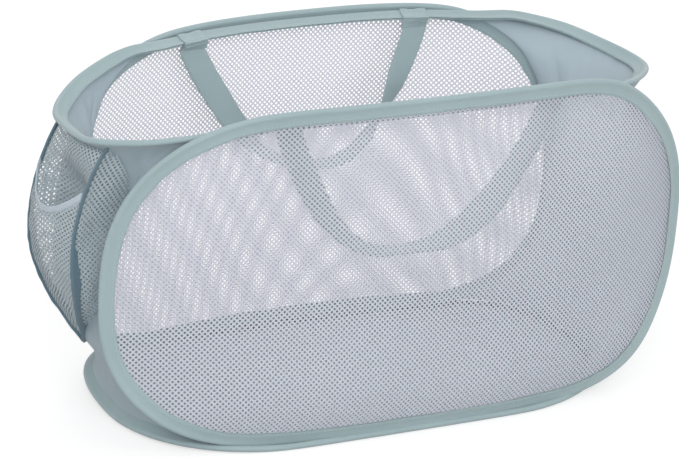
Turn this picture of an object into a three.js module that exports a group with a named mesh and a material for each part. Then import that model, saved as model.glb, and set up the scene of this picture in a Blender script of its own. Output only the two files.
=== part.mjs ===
// A pop-up laundry hamper, in millimetres, +Z up, with its long side along X and its front at -Y.
// Four spring-steel hoops are sewn into folded tape. The front and back hoops stand upright and hold
// mesh, the top hoop frames the mouth, the bottom hoop holds the base, and cloth closes both ends.
// The origin is the centre of the base, on the floor.

import * as THREE from 'three';

// Driving dimensions of the hamper
const SIDE_HOOP_LENGTH = 600;
const SIDE_HOOP_HEIGHT = 312;
const DEPTH = 272;
const TOP_HOOP_LENGTH = 608;
const BASE_HOOP_LENGTH = 504;

// How far the round corners of each hoop reach along it and across it, and how square they are
const SIDE_CORNER_LENGTH = 190;
const TOP_CORNER_LENGTH = 200;
const BASE_CORNER_LENGTH = 160;
const CORNER_SQUARENESS = 2.4;
const CORNER_STEPS = 9;

// The end cloths draw the ends of the side hoops inwards, past a flat run in the middle
const SIDE_HOOP_BOW = 26;
const BOW_START = 140;
const BOW_POWER = 2;

// Spring wire, its crimped ferrule and the folded tape round them
const WIRE_RADIUS = 1.3;
const FERRULE_BORE_GAP = 0.3;
const FERRULE_WALL = 0.3;
const FERRULE_LENGTH = 24;
const TUBE_SIDES = 6;
const TAPE_WIDTH = 16;
const TAPE_THICKNESS = 0.65;
const TAPE_NOSE_HALF = 3;
const WIRE_INSET = 3.1;
const TAPE_FLAT_START = 1.8;
const TAPE_FLAT_END = 4.4;
const TAPE_SLOT_START = 6;

// Cloth and seams
const CLOTH_THICKNESS = 0.8;
const CLEARANCE = 0.3;
const PANEL_EDGE_INSET = 7.5;
const SEAM_INSET = 4.6;
const SEAM_STANDOFF = 0.9;
const SEAM_CORNER_REACH = 160;
const BASE_SAG_START = 20;
const BASE_SAG_END = 46;

// The mouth's band is folded down towards the inside
const MOUTH_DROP = 6.2;
const MOUTH_SECTION_HEIGHT = 12;
const HOOP_RISE = 0.4;

// The open lattice of the mesh panels
const MESH_PITCH = 48;
const MESH_STRAND = 5;
const MESH_MARGIN = 24;
const MESH_BORDER_INSET = 20;

// Carrying straps and the tabs that hold them to the mouth's band
const STRAP_WIDTH = 25;
const STRAP_THICKNESS = 1.6;
const STRAP_SPAN = 252;
const STRAP_DROP = 130;
const STRAP_SHIFT = -14;
const STRAP_CURVE = 2.4;
const STRAP_STEPS = 24;
const STRAP_TWIST_SHARE = 0.36;
const STRAP_GAP = 0.4;
const TAB_WIDTH = 27;

// The pocket on the left end: outline shares run from the mouth's band down to the pocket's foot
const POCKET_HALF_WIDTH = 48;
const POCKET_TOP_INSET = 1.5;
const POCKET_FOOT_HEIGHT = 88;
const POCKET_BULGE = 17;
const POCKET_FACE_CROWN = 8;
const POCKET_STEPS = 10;
const POCKET_MOUTH_SHARE = 0.4;
const POCKET_OPENING_SHARE = 0.08;
const POCKET_FOOT_DEPTH_SHARE = 0.9;
const PIPING_RADIUS = 2;
const GUSSET_STANDOFF = 1.6;
const HEM_HEIGHT = 9;
const HEM_THICKNESS = 1.6;

// Steps across each sheet of cloth
const END_PANEL_STEPS = 10;
const RELAX_ROUNDS = 300;
const POCKET_WIDTH_STEPS = 4;

// Places worked out from the sizes above
const innerFace = DEPTH / 2 - 2 * TAPE_NOSE_HALF;
const tabAllowance = TAPE_THICKNESS + 2 * CLEARANCE;
const topHalfDepth = innerFace - tabAllowance - CLEARANCE;
const baseHalfDepth = innerFace - CLEARANCE;
const baseBandTop = 2 * TAPE_NOSE_HALF;
const sideHoopFoot = baseBandTop + HOOP_RISE;
const sideHoopMiddle = sideHoopFoot + SIDE_HOOP_HEIGHT / 2;
const mouthTop = sideHoopFoot + SIDE_HOOP_HEIGHT - 2 * TAPE_NOSE_HALF;
const mouthFoot = mouthTop - MOUTH_SECTION_HEIGHT;
const mouthPlane = mouthTop - TAPE_NOSE_HALF - tabAllowance;
const clothHalf = CLOTH_THICKNESS / 2;

const COLOURS = {
  tape: { color: 0x9eb6b6, roughness: 0.75, metalness: 0 },
  cloth: { color: 0xa8b8c0, roughness: 0.8, metalness: 0 },
  mesh: { color: 0xe9e8f0, roughness: 0.7, metalness: 0 },
  piping: { color: 0x556978, roughness: 0.7, metalness: 0 },
  steel: { color: 0xb4b8bc, roughness: 0.35, metalness: 0.9 },
};

const hamper = new THREE.Group();

/** Adds one named mesh to the hamper. */
function add(name, geometry, look) {
  const mesh = new THREE.Mesh(geometry, new THREE.MeshStandardMaterial(COLOURS[look]));
  mesh.name = name;
  hamper.add(mesh);
  return mesh;
}

/** A geometry from rows of points and triangles that index them. */
function solidFrom(points, triangles) {
  const geometry = new THREE.BufferGeometry().setFromPoints(points);
  geometry.setIndex(triangles.flat());
  geometry.computeVertexNormals();
  return geometry;
}

/** The volume that a closed set of triangles holds, negative when they face inwards. */
function signedVolume(points, triangles) {
  let total = 0;
  for (const [a, b, c] of triangles) {
    total += points[a].dot(points[b].clone().cross(points[c]));
  }
  return total;
}

/** The same solid with its faces turned outwards. */
function facingOut(points, triangles) {
  if (signedVolume(points, triangles) >= 0) {
    return solidFrom(points, triangles);
  }
  return solidFrom(points, triangles.map(([a, b, c]) => [a, c, b]));
}

/** One quarter of a hoop's corner, from its end on the long axis to its start on the short axis. */
function cornerPoint(turn, reachX, reachY) {
  const power = 2 / CORNER_SQUARENESS;
  return [reachX * Math.cos(turn) ** power, reachY * Math.sin(turn) ** power];
}

/** A hoop's outline as a closed loop of points: straight runs with large round ends. */
function hoopOutline(halfLength, halfWidth, cornerLength) {
  const straight = halfLength - cornerLength;
  const quarter = [];
  for (let step = 0; step < CORNER_STEPS; step += 1) {
    const turn = ((step + 1 / 2) / CORNER_STEPS) * (Math.PI / 2);
    const [x, y] = cornerPoint(turn, cornerLength, halfWidth);
    quarter.push([straight + x, y]);
  }
  const back = quarter.map(([x, y]) => [-x, y]).reverse();
  const upper = quarter.concat(back);
  const lower = upper.map(([x, y]) => [-x, -y]);
  return upper.concat(lower).map(([x, y]) => new THREE.Vector2(x, y));
}

/** The outward normal of the side that runs from one outline point to the next. */
function sideNormal(from, to) {
  const along = to.clone().sub(from).normalize();
  return new THREE.Vector2(along.y, -along.x);
}

/** Stations round an outline. Each has a point and the mitred outward normal there. */
function hoopStations(outline) {
  const count = outline.length;
  return outline.map((point, i) => {
    const before = sideNormal(outline[(i + count - 1) % count], point);
    const after = sideNormal(point, outline[(i + 1) % count]);
    const mitre = before.clone().add(after);
    return { point, normal: mitre.multiplyScalar(2 / mitre.lengthSq()) };
  });
}

/** The outline point that lies a given distance inside a station. */
function inside(station, inset) {
  return station.point.clone().addScaledVector(station.normal, -inset);
}

/** How far a side hoop's plane is drawn inwards at a place along it. */
function bowAt(x) {
  const past = Math.max(0, Math.abs(x) - BOW_START) / (SIDE_HOOP_LENGTH / 2 - BOW_START);
  return SIDE_HOOP_BOW * past ** BOW_POWER;
}

/** How far from the hamper's middle plane a side hoop's own plane lies at a place along it. */
function sideDepth(x) {
  return DEPTH / 2 - TAPE_NOSE_HALF - bowAt(x);
}

// `place` puts a hoop's flat coordinates and a height off its face in space
const placeFront = (x, y, off) => new THREE.Vector3(x, -sideDepth(x) - off, sideHoopMiddle + y);
const placeBack = (x, y, off) => new THREE.Vector3(x, sideDepth(x) + off, sideHoopMiddle + y);
const placeTop = (x, y, off) => new THREE.Vector3(x, y, mouthPlane + off);
const placeBase = (x, y, off) => new THREE.Vector3(x, y, TAPE_NOSE_HALF + off);

/** Turns a flat triangle so that it runs the same way round as the outline it fills. */
function alongOutline(flat, outlineArea, [a, b, c]) {
  const area = THREE.ShapeUtils.area([flat[a], flat[b], flat[c]]);
  return area * outlineArea > 0 ? [a, b, c] : [a, c, b];
}

/** Joins rows of points into a skin. Rows may close on themselves, and so may the run of rows. */
function skin(rows, width, closedAlong, closedAcross) {
  const triangles = [];
  const runs = closedAlong ? rows : rows - 1;
  const steps = closedAcross ? width : width - 1;
  for (let run = 0; run < runs; run += 1) {
    const here = run * width;
    const next = ((run + 1) % rows) * width;
    for (let k = 0; k < steps; k += 1) {
      const after = (k + 1) % width;
      triangles.push([here + k, next + k, next + after]);
      triangles.push([here + k, next + after, here + after]);
    }
  }
  return triangles;
}

/** Flat ends for a tube whose rows repeat one section. */
function endCaps(section, rows) {
  const flat = section.map(([inset, height]) => new THREE.Vector2(inset, height));
  const area = THREE.ShapeUtils.area(flat);
  const last = (rows - 1) * section.length;
  const caps = [];
  for (const face of THREE.ShapeUtils.triangulateShape(flat, [])) {
    const [a, b, c] = alongOutline(flat, area, face);
    caps.push([a, b, c], [last + a, last + c, last + b]);
  }
  return caps;
}

/** Sweeps a closed section of [inset, height] points round stations of a flat path. */
function sweep(stations, section, place, closed) {
  const points = stations.flatMap((station) => section.map(([inset, height]) => {
    const { x, y } = inside(station, inset);
    return place(x, y, height);
  }));
  const triangles = skin(stations.length, section.length, closed, true);
  return facingOut(points, closed ? triangles : triangles.concat(endCaps(section, stations.length)));
}

/** Sweeps a section along frames in space. A frame holds an origin and two directions across it. */
function sweepFrames(frames, section) {
  const points = frames.flatMap(({ origin, across, through }) => section.map(([a, b]) => (
    origin.clone().addScaledVector(across, a).addScaledVector(through, b))));
  const triangles = skin(frames.length, section.length, false, true);
  return facingOut(points, triangles.concat(endCaps(section, frames.length)));
}

/** A regular section for a round wire, centred on an inset and a height. */
function roundSection(radius, inset, height) {
  return Array.from({ length: TUBE_SIDES }, (_, side) => {
    const turn = ((side + 1 / 2) / TUBE_SIDES) * 2 * Math.PI;
    return [inset + radius * Math.cos(turn), height + radius * Math.sin(turn)];
  });
}

/** The folded tape's section: a nose round the wire and two legs on either side of the cloth. */
function tapeSection() {
  const slot = clothHalf + CLEARANCE;
  const leg = slot + TAPE_THICKNESS;
  const pocket = TAPE_NOSE_HALF - TAPE_THICKNESS;
  const outer = [
    [TAPE_WIDTH, -leg], [TAPE_FLAT_END, -TAPE_NOSE_HALF], [TAPE_FLAT_START, -TAPE_NOSE_HALF], [0, 0],
    [TAPE_FLAT_START, TAPE_NOSE_HALF], [TAPE_FLAT_END, TAPE_NOSE_HALF], [TAPE_WIDTH, leg],
  ];
  const inner = [
    [TAPE_WIDTH, slot], [TAPE_SLOT_START, slot], [TAPE_FLAT_END, pocket], [TAPE_FLAT_START, pocket],
    [TAPE_THICKNESS, 0],
    [TAPE_FLAT_START, -pocket], [TAPE_FLAT_END, -pocket], [TAPE_SLOT_START, -slot], [TAPE_WIDTH, -slot],
  ];
  return outer.concat(inner);
}

/** A section folded down towards the inside, as the mouth's band is. */
function folded(section, drop) {
  return section.map(([inset, height]) => {
    const past = Math.max(0, inset - WIRE_INSET) / TAPE_WIDTH;
    return [inset, height - drop * past];
  });
}

/** The part of a hoop's stations that lies within a distance of a place on its long side. */
function stretch(stations, centre, reach, side) {
  const cut = (x) => {
    const i = stations.findIndex(({ point }, k) => {
      const next = stations[(k + 1) % stations.length].point;
      return point.y * side > 0 && next.y * side > 0 && (point.x - x) * (next.x - x) <= 0;
    });
    const from = stations[i].point;
    const to = stations[(i + 1) % stations.length].point;
    const share = (x - from.x) / (to.x - from.x);
    return { point: from.clone().lerp(to, share), normal: sideNormal(from, to) };
  };
  const ends = [cut(centre - reach), cut(centre + reach)];
  const between = stations.filter(({ point }) => point.y * side > 0 && Math.abs(point.x - centre) < reach);
  return [ends[0], ...between, ends[1]].sort((a, b) => a.point.x - b.point.x);
}

/** The wire, its ferrule and the tape of one hoop. */
function addHoop(name, stations, place, drop) {
  add(`${name}_wire`, sweep(stations, roundSection(WIRE_RADIUS, WIRE_INSET, 0), place, true), 'steel');
  const bore = roundSection(WIRE_RADIUS + FERRULE_BORE_GAP, WIRE_INSET, 0);
  const shell = roundSection(WIRE_RADIUS + FERRULE_BORE_GAP + FERRULE_WALL, WIRE_INSET, 0);
  add(`${name}_ferrule`, sleeve(stretch(stations, 0, FERRULE_LENGTH / 2, -1), shell, bore, place), 'steel');
  add(`${name}_binding`, sweep(stations, folded(tapeSection(), drop), place, true), 'tape');
}

/** A tube with a bore: an outer and an inner section joined by rings at both ends. */
function sleeve(stations, shell, bore, place) {
  const row = (station, section) => section.map(([inset, height]) => {
    const { x, y } = inside(station, inset);
    return place(x, y, height);
  });
  const rows = [...stations.map((station) => row(station, shell)),
    ...stations.slice().reverse().map((station) => row(station, bore))];
  return facingOut(rows.flat(), skin(rows.length, shell.length, true, true));
}

/** A sheet of cloth from a grid of points, thick by the same amount on both sides of the grid. */
function sheet(grid, half = clothHalf) {
  const rows = grid.length;
  const width = grid[0].length;
  const near = (list, i) => list[Math.min(Math.max(i, 0), list.length - 1)];
  const normal = (i, j) => {
    const down = near(grid, i + 1)[j].clone().sub(near(grid, i - 1)[j]);
    const over = near(grid[i], j + 1).clone().sub(near(grid[i], j - 1));
    return down.cross(over).normalize();
  };
  const side = (sign) => grid.flatMap((line, i) => line.map((point, j) => (
    point.clone().addScaledVector(normal(i, j), sign * half))));
  const count = rows * width;
  const face = skin(rows, width, false, false);
  const back = face.map(([a, b, c]) => [count + a, count + c, count + b]);
  return facingOut([...side(1), ...side(-1)], [...face, ...back, ...rim(rows, width, count)]);
}

/** The edge of a sheet: a strip of faces that joins its two sides all round. */
function rim(rows, width, count) {
  const loop = [];
  for (let j = 0; j < width - 1; j += 1) {
    loop.push(j);
  }
  for (let i = 0; i < rows - 1; i += 1) {
    loop.push(i * width + width - 1);
  }
  for (let j = width - 1; j > 0; j -= 1) {
    loop.push((rows - 1) * width + j);
  }
  for (let i = rows - 1; i > 0; i -= 1) {
    loop.push(i * width);
  }
  return loop.flatMap((here, k) => {
    const next = loop[(k + 1) % loop.length];
    return [[here, next, count + next], [here, count + next, count + here]];
  });
}

/** Whether a diamond of the lattice lies wholly inside the mesh panel's open area. */
function diamondFits(x, y, reach) {
  const cornerX = SIDE_CORNER_LENGTH - MESH_MARGIN;
  const cornerY = SIDE_HOOP_HEIGHT / 2 - MESH_MARGIN;
  const straight = SIDE_HOOP_LENGTH / 2 - SIDE_CORNER_LENGTH;
  const measure = (px, py) => (Math.max(0, px - straight) / cornerX) ** CORNER_SQUARENESS
    + (py / cornerY) ** CORNER_SQUARENESS;
  return measure(Math.abs(x) + reach, Math.abs(y)) < 1 && measure(Math.abs(x), Math.abs(y) + reach) < 1;
}

/** The corners of a diamond-shaped gap in the lattice. */
function diamond(x, y, reach) {
  const corners = [[x + reach, y], [x, y + reach], [x - reach, y], [x, y - reach]];
  return corners.map(([px, py]) => new THREE.Vector2(px, py));
}

/** All gaps of a mesh panel's lattice: rows of diamonds, with every other row moved by half a pitch. */
function latticeGaps() {
  const reach = (MESH_PITCH - MESH_STRAND * Math.SQRT2) / 2;
  const columns = Math.ceil(SIDE_HOOP_LENGTH / MESH_PITCH);
  const rows = Math.ceil(SIDE_HOOP_HEIGHT / MESH_PITCH);
  const gaps = [];
  for (let row = -rows; row <= rows; row += 1) {
    const stagger = (row % 2) * (MESH_PITCH / 2);
    for (let column = -columns; column <= columns; column += 1) {
      const x = column * MESH_PITCH + stagger;
      const y = (row * MESH_PITCH) / 2;
      if (diamondFits(x, y, reach)) {
        gaps.push(diamond(x, y, reach));
      }
    }
  }
  return gaps;
}

/** The sides of a plate along one loop of its upper points; the lower points follow after `count`. */
function plateWalls(loop, count) {
  return loop.flatMap((from, i) => {
    const to = loop[(i + 1) % loop.length];
    return [[to, from, from + count], [to, from + count, to + count]];
  });
}

/** A mesh panel: a net whose border runs between the legs of its hoop's tape and bows with it. */
function meshPanel(stations, place) {
  const edge = stations.map((station) => inside(station, PANEL_EDGE_INSET));
  const border = stations.map((station) => inside(station, MESH_BORDER_INSET));
  const gaps = latticeGaps();
  const flat = [...edge, ...border, ...gaps.flat()];
  const count = edge.length;
  const borderStrip = edge.flatMap((_, k) => {
    const next = (k + 1) % count;
    return [[k, next, count + next], [k, count + next, count + k]];
  });
  const area = THREE.ShapeUtils.area(border);
  const lattice = THREE.ShapeUtils.triangulateShape(border, gaps)
    .map((corners) => alongOutline(flat, area, corners.map((i) => count + i)));
  const upper = [...borderStrip, ...lattice];
  const lower = upper.map(([a, b, c]) => [flat.length + a, flat.length + c, flat.length + b]);
  const gapLoops = gaps.map((corners, k) => {
    const last = 2 * count + (k + 1) * corners.length - 1;
    return corners.map((_, i) => last - i);
  });
  const walls = [edge.map((_, k) => k), ...gapLoops].flatMap((loop) => plateWalls(loop, flat.length));
  const points = [1, -1].flatMap((side) => flat.map(({ x, y }) => place(x, y, side * clothHalf)));
  return facingOut(points, [...upper, ...lower, ...walls]);
}

/** The base: level in the tape's slot at its edge, then sagging to lie flat on the floor. */
function addBase(stations) {
  const flat = clothHalf - TAPE_NOSE_HALF;
  const rings = [[PANEL_EDGE_INSET, 0], [BASE_SAG_START, 0], [BASE_SAG_END, flat]];
  const count = stations.length;
  const level = (side) => rings.flatMap(([inset, height]) => stations.map((station) => {
    const { x, y } = inside(station, inset);
    return placeBase(x, y, height + side * clothHalf);
  })).concat(placeBase(0, 0, flat + side * clothHalf));
  const half = rings.length * count + 1;
  const middle = (rings.length - 1) * count;
  const face = skin(rings.length, count, false, true);
  for (let k = 0; k < count; k += 1) {
    face.push([middle + k, half - 1, middle + ((k + 1) % count)]);
  }
  const under = face.map(([a, b, c]) => [half + a, half + c, half + b]);
  const edge = stations.flatMap((_, k) => {
    const next = (k + 1) % count;
    return [[k, next, half + next], [k, half + next, half + k]];
  });
  add('bottom_panel', facingOut([...level(1), ...level(-1)], [...face, ...under, ...edge]), 'cloth');
}

/** Evenly spaced points along a run of points. */
function spaced(run, count) {
  const curve = new THREE.CurvePath();
  run.slice(1).forEach((point, i) => curve.add(new THREE.LineCurve3(run[i], point)));
  return curve.getSpacedPoints(count);
}

/** The half of a hoop that lies on one end of the hamper, as a run from one seam corner to the other. */
function endArc(stations, side, inset, place) {
  const run = stations.filter(({ point }) => point.x * side > SEAM_CORNER_REACH + 2 * TAPE_WIDTH);
  run.sort((a, b) => a.point.y - b.point.y);
  return run.map((station) => inside(station, inset)).map(({ x, y }) => place(x, y));
}

/** Fills a grid between its four edges so that each point lies midway between its neighbours. */
function relax(grid) {
  for (let round = 0; round < RELAX_ROUNDS; round += 1) {
    for (let i = 1; i < grid.length - 1; i += 1) {
      for (let j = 1; j < grid[i].length - 1; j += 1) {
        grid[i][j].copy(grid[i - 1][j]).add(grid[i + 1][j]).add(grid[i][j - 1]).add(grid[i][j + 1]);
        grid[i][j].multiplyScalar(1 / 4);
      }
    }
  }
  return grid;
}

/** The grid of an end panel. Its rows climb from the base, and its columns run from front to back. */
function endPanelGrid(side) {
  const seam = innerFace - SEAM_STANDOFF;
  const foot = baseBandTop + SEAM_STANDOFF;
  const dip = (MOUTH_DROP * (SEAM_INSET - WIRE_INSET)) / TAPE_WIDTH;
  const head = mouthPlane - dip - TAPE_NOSE_HALF - SEAM_STANDOFF;
  const lift = (x, y) => Math.min(Math.max(sideHoopMiddle + y, foot), head);
  const seamAt = (px, y) => y - Math.sign(y) * bowAt(px);
  const corner = (y, z) => new THREE.Vector3(side * SEAM_CORNER_REACH, seamAt(SEAM_CORNER_REACH, y), z);
  const framed = (arc, from, to) => spaced([from, ...arc, to], END_PANEL_STEPS);
  const upright = (y) => framed(
    endArc(sideStations, side, SEAM_INSET, (px, py) => new THREE.Vector3(px, seamAt(px, y), lift(px, py))),
    corner(y, foot),
    corner(y, head),
  );
  const level = (stations, z) => framed(
    endArc(stations, side, SEAM_INSET, (px, py) => new THREE.Vector3(px, py, z)),
    corner(-seam, z),
    corner(seam, z),
  );
  const front = upright(-seam);
  const back = upright(seam);
  const base = level(baseStations, foot);
  const mouth = level(topStations, head);
  const grid = front.map((point, i) => base.map((other, j) => {
    const across = j / END_PANEL_STEPS;
    return point.clone().lerp(back[i], across);
  }));
  grid[0] = base;
  grid[END_PANEL_STEPS] = mouth;
  return relax(grid);
}

/** Where an end panel's cloth lies at a given depth and height: its X there. */
function clothAt(grid, y, z) {
  const column = grid.map((row) => {
    const j = row.findIndex((point, k) => k > 0 && point.y >= y);
    const share = (y - row[j - 1].y) / (row[j].y - row[j - 1].y);
    return row[j - 1].clone().lerp(row[j], share);
  });
  const i = column.findIndex((point, k) => k > 0 && point.z >= z);
  const share = (z - column[i - 1].z) / (column[i].z - column[i - 1].z);
  return column[i - 1].clone().lerp(column[i], share).x;
}

/** How far out the mouth's band reaches at a given depth on the left end, less the pocket's inset. */
function bandAt(y) {
  const arc = endArc(topStations, -1, POCKET_TOP_INSET, (px, py) => new THREE.Vector2(px, py));
  const i = arc.findIndex((point, k) => k > 0 && point.y >= y);
  const share = (y - arc[i - 1].y) / (arc[i].y - arc[i - 1].y);
  return arc[i - 1].clone().lerp(arc[i], share).x;
}

/** The pocket's side view: from under the mouth's band it swells out and comes back to the cloth. */
function pocketProfile(cloth) {
  const top = mouthFoot - SEAM_STANDOFF;
  const topX = bandAt(POCKET_HALF_WIDTH);
  const footDepths = [-POCKET_HALF_WIDTH, 0, POCKET_HALF_WIDTH];
  const cloths = footDepths.map((y) => clothAt(cloth, y, POCKET_FOOT_HEIGHT));
  const footX = Math.min(...cloths) - SEAM_STANDOFF;
  return (share) => {
    const reach = Math.cos((Math.PI / 2) * share ** 3);
    const swell = POCKET_BULGE * Math.sin(Math.PI * share);
    const x = footX + (topX - footX) * reach - swell;
    return new THREE.Vector3(x, 0, top + (POCKET_FOOT_HEIGHT - top) * share);
  };
}

/** How far the middle of the pocket's front stands out past its piping, a share of the way down. */
function pocketSwell(share) {
  const atBand = bandAt(POCKET_HALF_WIDTH) - bandAt(0);
  return atBand * (1 - share) + POCKET_FACE_CROWN * Math.sin(Math.PI * share) ** 2;
}

/** A piece of the pocket's front, between two shares of the way down its profile. */
function pocketFace(profile, from, to) {
  const half = POCKET_HALF_WIDTH - PIPING_RADIUS - CLEARANCE;
  const rows = Math.max(2, Math.round((to - from) * POCKET_STEPS));
  return Array.from({ length: rows + 1 }, (_, i) => {
    const share = from + ((to - from) * i) / rows;
    const swell = pocketSwell(share);
    return Array.from({ length: POCKET_WIDTH_STEPS + 1 }, (__, j) => {
      const across = (2 * j) / POCKET_WIDTH_STEPS - 1;
      const point = profile(share);
      return new THREE.Vector3(point.x - swell * (1 - across ** 2), across * half, point.z);
    });
  });
}

/** A side of the pocket: from its piping back to the end panel. */
function pocketGusset(profile, cloth, y) {
  const steps = POCKET_STEPS;
  const up = new THREE.Vector3(0, 1, 0);
  return Array.from({ length: steps + 1 }, (_, i) => {
    const share = (POCKET_FOOT_DEPTH_SHARE * i) / steps;
    const along = profile(share + 1 / steps / steps).sub(profile(share)).normalize();
    const outer = profile(share).addScaledVector(along.cross(up), PIPING_RADIUS + 2 * CLEARANCE).setY(y);
    const inner = new THREE.Vector3(clothAt(cloth, y, outer.z) - GUSSET_STANDOFF, y, outer.z);
    return [0, 1 / 2, 1].map((part) => outer.clone().lerp(inner, part));
  });
}

/** A corded edge of the pocket, from the mouth's band to the pocket's foot. */
function pocketPiping(profile, y) {
  const line = Array.from({ length: POCKET_STEPS + 1 }, (_, i) => {
    const point = profile(i / POCKET_STEPS);
    return new THREE.Vector3(point.x - PIPING_RADIUS / 2, y, point.z);
  });
  return tube(line, PIPING_RADIUS);
}

/** A tube round a line that stays in one upright plane. */
function tube(line, radius) {
  const through = new THREE.Vector3(0, 1, 0);
  const frames = line.map((origin, i) => {
    const along = (line[i + 1] ?? origin).clone().sub(line[i - 1] ?? origin).normalize();
    return { origin, across: along.cross(through), through };
  });
  return sweepFrames(frames, roundSection(radius, 0, 0));
}

/** The folded hem along the pocket's mouth, in front of the face's upper edge. */
function pocketHem(profile, share) {
  const half = POCKET_HALF_WIDTH - PIPING_RADIUS - CLEARANCE;
  const up = new THREE.Vector3(0, 0, 1);
  const through = new THREE.Vector3(1, 0, 0);
  const crown = pocketSwell(share);
  const steps = POCKET_WIDTH_STEPS;
  const frames = Array.from({ length: steps + 1 }, (_, j) => {
    const across = (2 * j) / steps - 1;
    const point = profile(share);
    const origin = new THREE.Vector3(point.x - crown * (1 - across ** 2), across * half, point.z);
    return { origin, across: up, through };
  });
  const a = HEM_HEIGHT / 2;
  const b = HEM_THICKNESS / 2;
  return sweepFrames(frames, [[-a, -b], [a, -b], [a, b], [-a, b]]);
}

/** Adds the pocket on the left end. */
function addPocket(cloth) {
  const profile = pocketProfile(cloth);
  const fall = mouthFoot - SEAM_STANDOFF - POCKET_FOOT_HEIGHT;
  const hemShare = (HEM_HEIGHT / 2 + CLEARANCE) / fall;
  const mouth = POCKET_MOUTH_SHARE;
  const upper = pocketFace(profile, 0, mouth - POCKET_OPENING_SHARE);
  const face = pocketFace(profile, mouth + hemShare, 1);
  add('pocket_upper_mesh', sheet(upper), 'mesh');
  add('pocket_face_mesh', sheet(face), 'mesh');
  add('pocket_mouth_hem', pocketHem(profile, mouth), 'mesh');
  for (const [name, side] of [['front', -1], ['back', 1]]) {
    const y = side * POCKET_HALF_WIDTH;
    add(`pocket_${name}_gusset`, sheet(pocketGusset(profile, cloth, y)), 'mesh');
    add(`pocket_${name}_piping`, pocketPiping(profile, y), 'piping');
  }
}

/** How far a tab's outside reaches in from the mouth band's outer edge. */
const tabReach = TAPE_WIDTH + CLEARANCE + TAPE_THICKNESS;

/** A tab's section: the strap's end wrapped round the mouth's band and open where the strap leaves. */
function tabSection() {
  const gap = CLEARANCE;
  const wall = TAPE_THICKNESS;
  const leg = clothHalf + CLEARANCE + TAPE_THICKNESS;
  const around = (off) => [[tabReach - wall + off, -leg - off], [TAPE_FLAT_END, -TAPE_NOSE_HALF - off],
    [TAPE_FLAT_START, -TAPE_NOSE_HALF - off], [-off, 0], [TAPE_FLAT_START, TAPE_NOSE_HALF + off],
    [TAPE_FLAT_END, TAPE_NOSE_HALF + off], [tabReach - wall + off, leg + off]];
  const outer = around(gap + wall);
  const inner = around(gap).reverse();
  const trim = (points) => points.map(([inset, height]) => [Math.min(inset, tabReach), height]);
  return folded(trim(outer).concat([[tabReach, CLEARANCE], [tabReach - wall, CLEARANCE]],
    trimInner(inner, wall), [[tabReach - wall, -CLEARANCE], [tabReach, -CLEARANCE]]), MOUTH_DROP);
}

/** The inner side of a tab's section, held back by the tab's own wall. */
function trimInner(points, wall) {
  return points.map(([inset, height]) => [Math.min(inset, tabReach - wall), height]);
}

/** A carrying strap: a flat band that hangs in a U and turns on edge at its foot. */
function strap(planeY, topZ) {
  const half = STRAP_SPAN / 2;
  const line = spaced(Array.from({ length: 4 * STRAP_STEPS + 1 }, (_, i) => {
    const across = i / (2 * STRAP_STEPS) - 1;
    const drop = STRAP_DROP * (1 - Math.abs(across) ** STRAP_CURVE);
    return new THREE.Vector3(STRAP_SHIFT + half * across, planeY, topZ - drop);
  }), STRAP_STEPS);
  const depth = new THREE.Vector3(0, 1, 0);
  const down = new THREE.Vector3(0, 0, -1);
  const frames = line.map((origin, i) => {
    const ends = { 0: down, [STRAP_STEPS]: down.clone().negate() };
    const along = ends[i] ?? line[i + 1].clone().sub(line[i - 1]).normalize();
    const flat = along.clone().cross(depth);
    const fromEnd = Math.min(i, STRAP_STEPS - i) / STRAP_STEPS;
    const turn = THREE.MathUtils.smoothstep(fromEnd, 0, STRAP_TWIST_SHARE) * (Math.PI / 2);
    const across = flat.clone().multiplyScalar(Math.cos(turn)).addScaledVector(depth, Math.sin(turn));
    return { origin, across, through: across.clone().cross(along) };
  });
  const a = STRAP_WIDTH / 2;
  const b = STRAP_THICKNESS / 2;
  return sweepFrames(frames, [[-a, -b], [a, -b], [a, b], [-a, b]]);
}

/** Adds one strap and the two tabs that hold it. */
function addHandle(name, side, top) {
  const runs = [-1, 1].map((sign) => (
    stretch(topStations, STRAP_SHIFT + (sign * STRAP_SPAN) / 2, TAB_WIDTH / 2, side)));
  const bandEdge = Math.min(...runs.flat().map(({ point }) => Math.abs(point.y)));
  const plane = bandEdge - tabReach - STRAP_GAP - STRAP_THICKNESS / 2;
  add(`${name}_handle_strap`, strap(side * plane, top), 'tape');
  add(`${name}_left_tab`, sweep(runs[0], tabSection(), placeTop, false), 'tape');
  add(`${name}_right_tab`, sweep(runs[1], tabSection(), placeTop, false), 'tape');
}

const sideOutline = hoopOutline(SIDE_HOOP_LENGTH / 2, SIDE_HOOP_HEIGHT / 2, SIDE_CORNER_LENGTH);
const topOutline = hoopOutline(TOP_HOOP_LENGTH / 2, topHalfDepth, TOP_CORNER_LENGTH);
const baseOutline = hoopOutline(BASE_HOOP_LENGTH / 2, baseHalfDepth, BASE_CORNER_LENGTH);
const sideStations = hoopStations(sideOutline);
const topStations = hoopStations(topOutline);
const baseStations = hoopStations(baseOutline);
const bandEdgeHeight = mouthPlane - (MOUTH_DROP * (TAPE_WIDTH - WIRE_INSET)) / TAPE_WIDTH;

addHoop('front_hoop', sideStations, placeFront, 0);
add('front_mesh', meshPanel(sideStations, placeFront), 'mesh');
addHoop('back_hoop', sideStations, placeBack, 0);
add('back_mesh', meshPanel(sideStations, placeBack), 'mesh');
addHoop('top_hoop', topStations, placeTop, MOUTH_DROP);
addHoop('bottom_hoop', baseStations, placeBase, 0);
addBase(baseStations);

const leftCloth = endPanelGrid(-1);
add('left_end_panel', sheet(leftCloth), 'cloth');
add('right_end_panel', sheet(endPanelGrid(1)), 'cloth');
addPocket(leftCloth);
addHandle('front', -1, mouthFoot - CLEARANCE);
addHandle('back', 1, bandEdgeHeight);

export default hamper;
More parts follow.
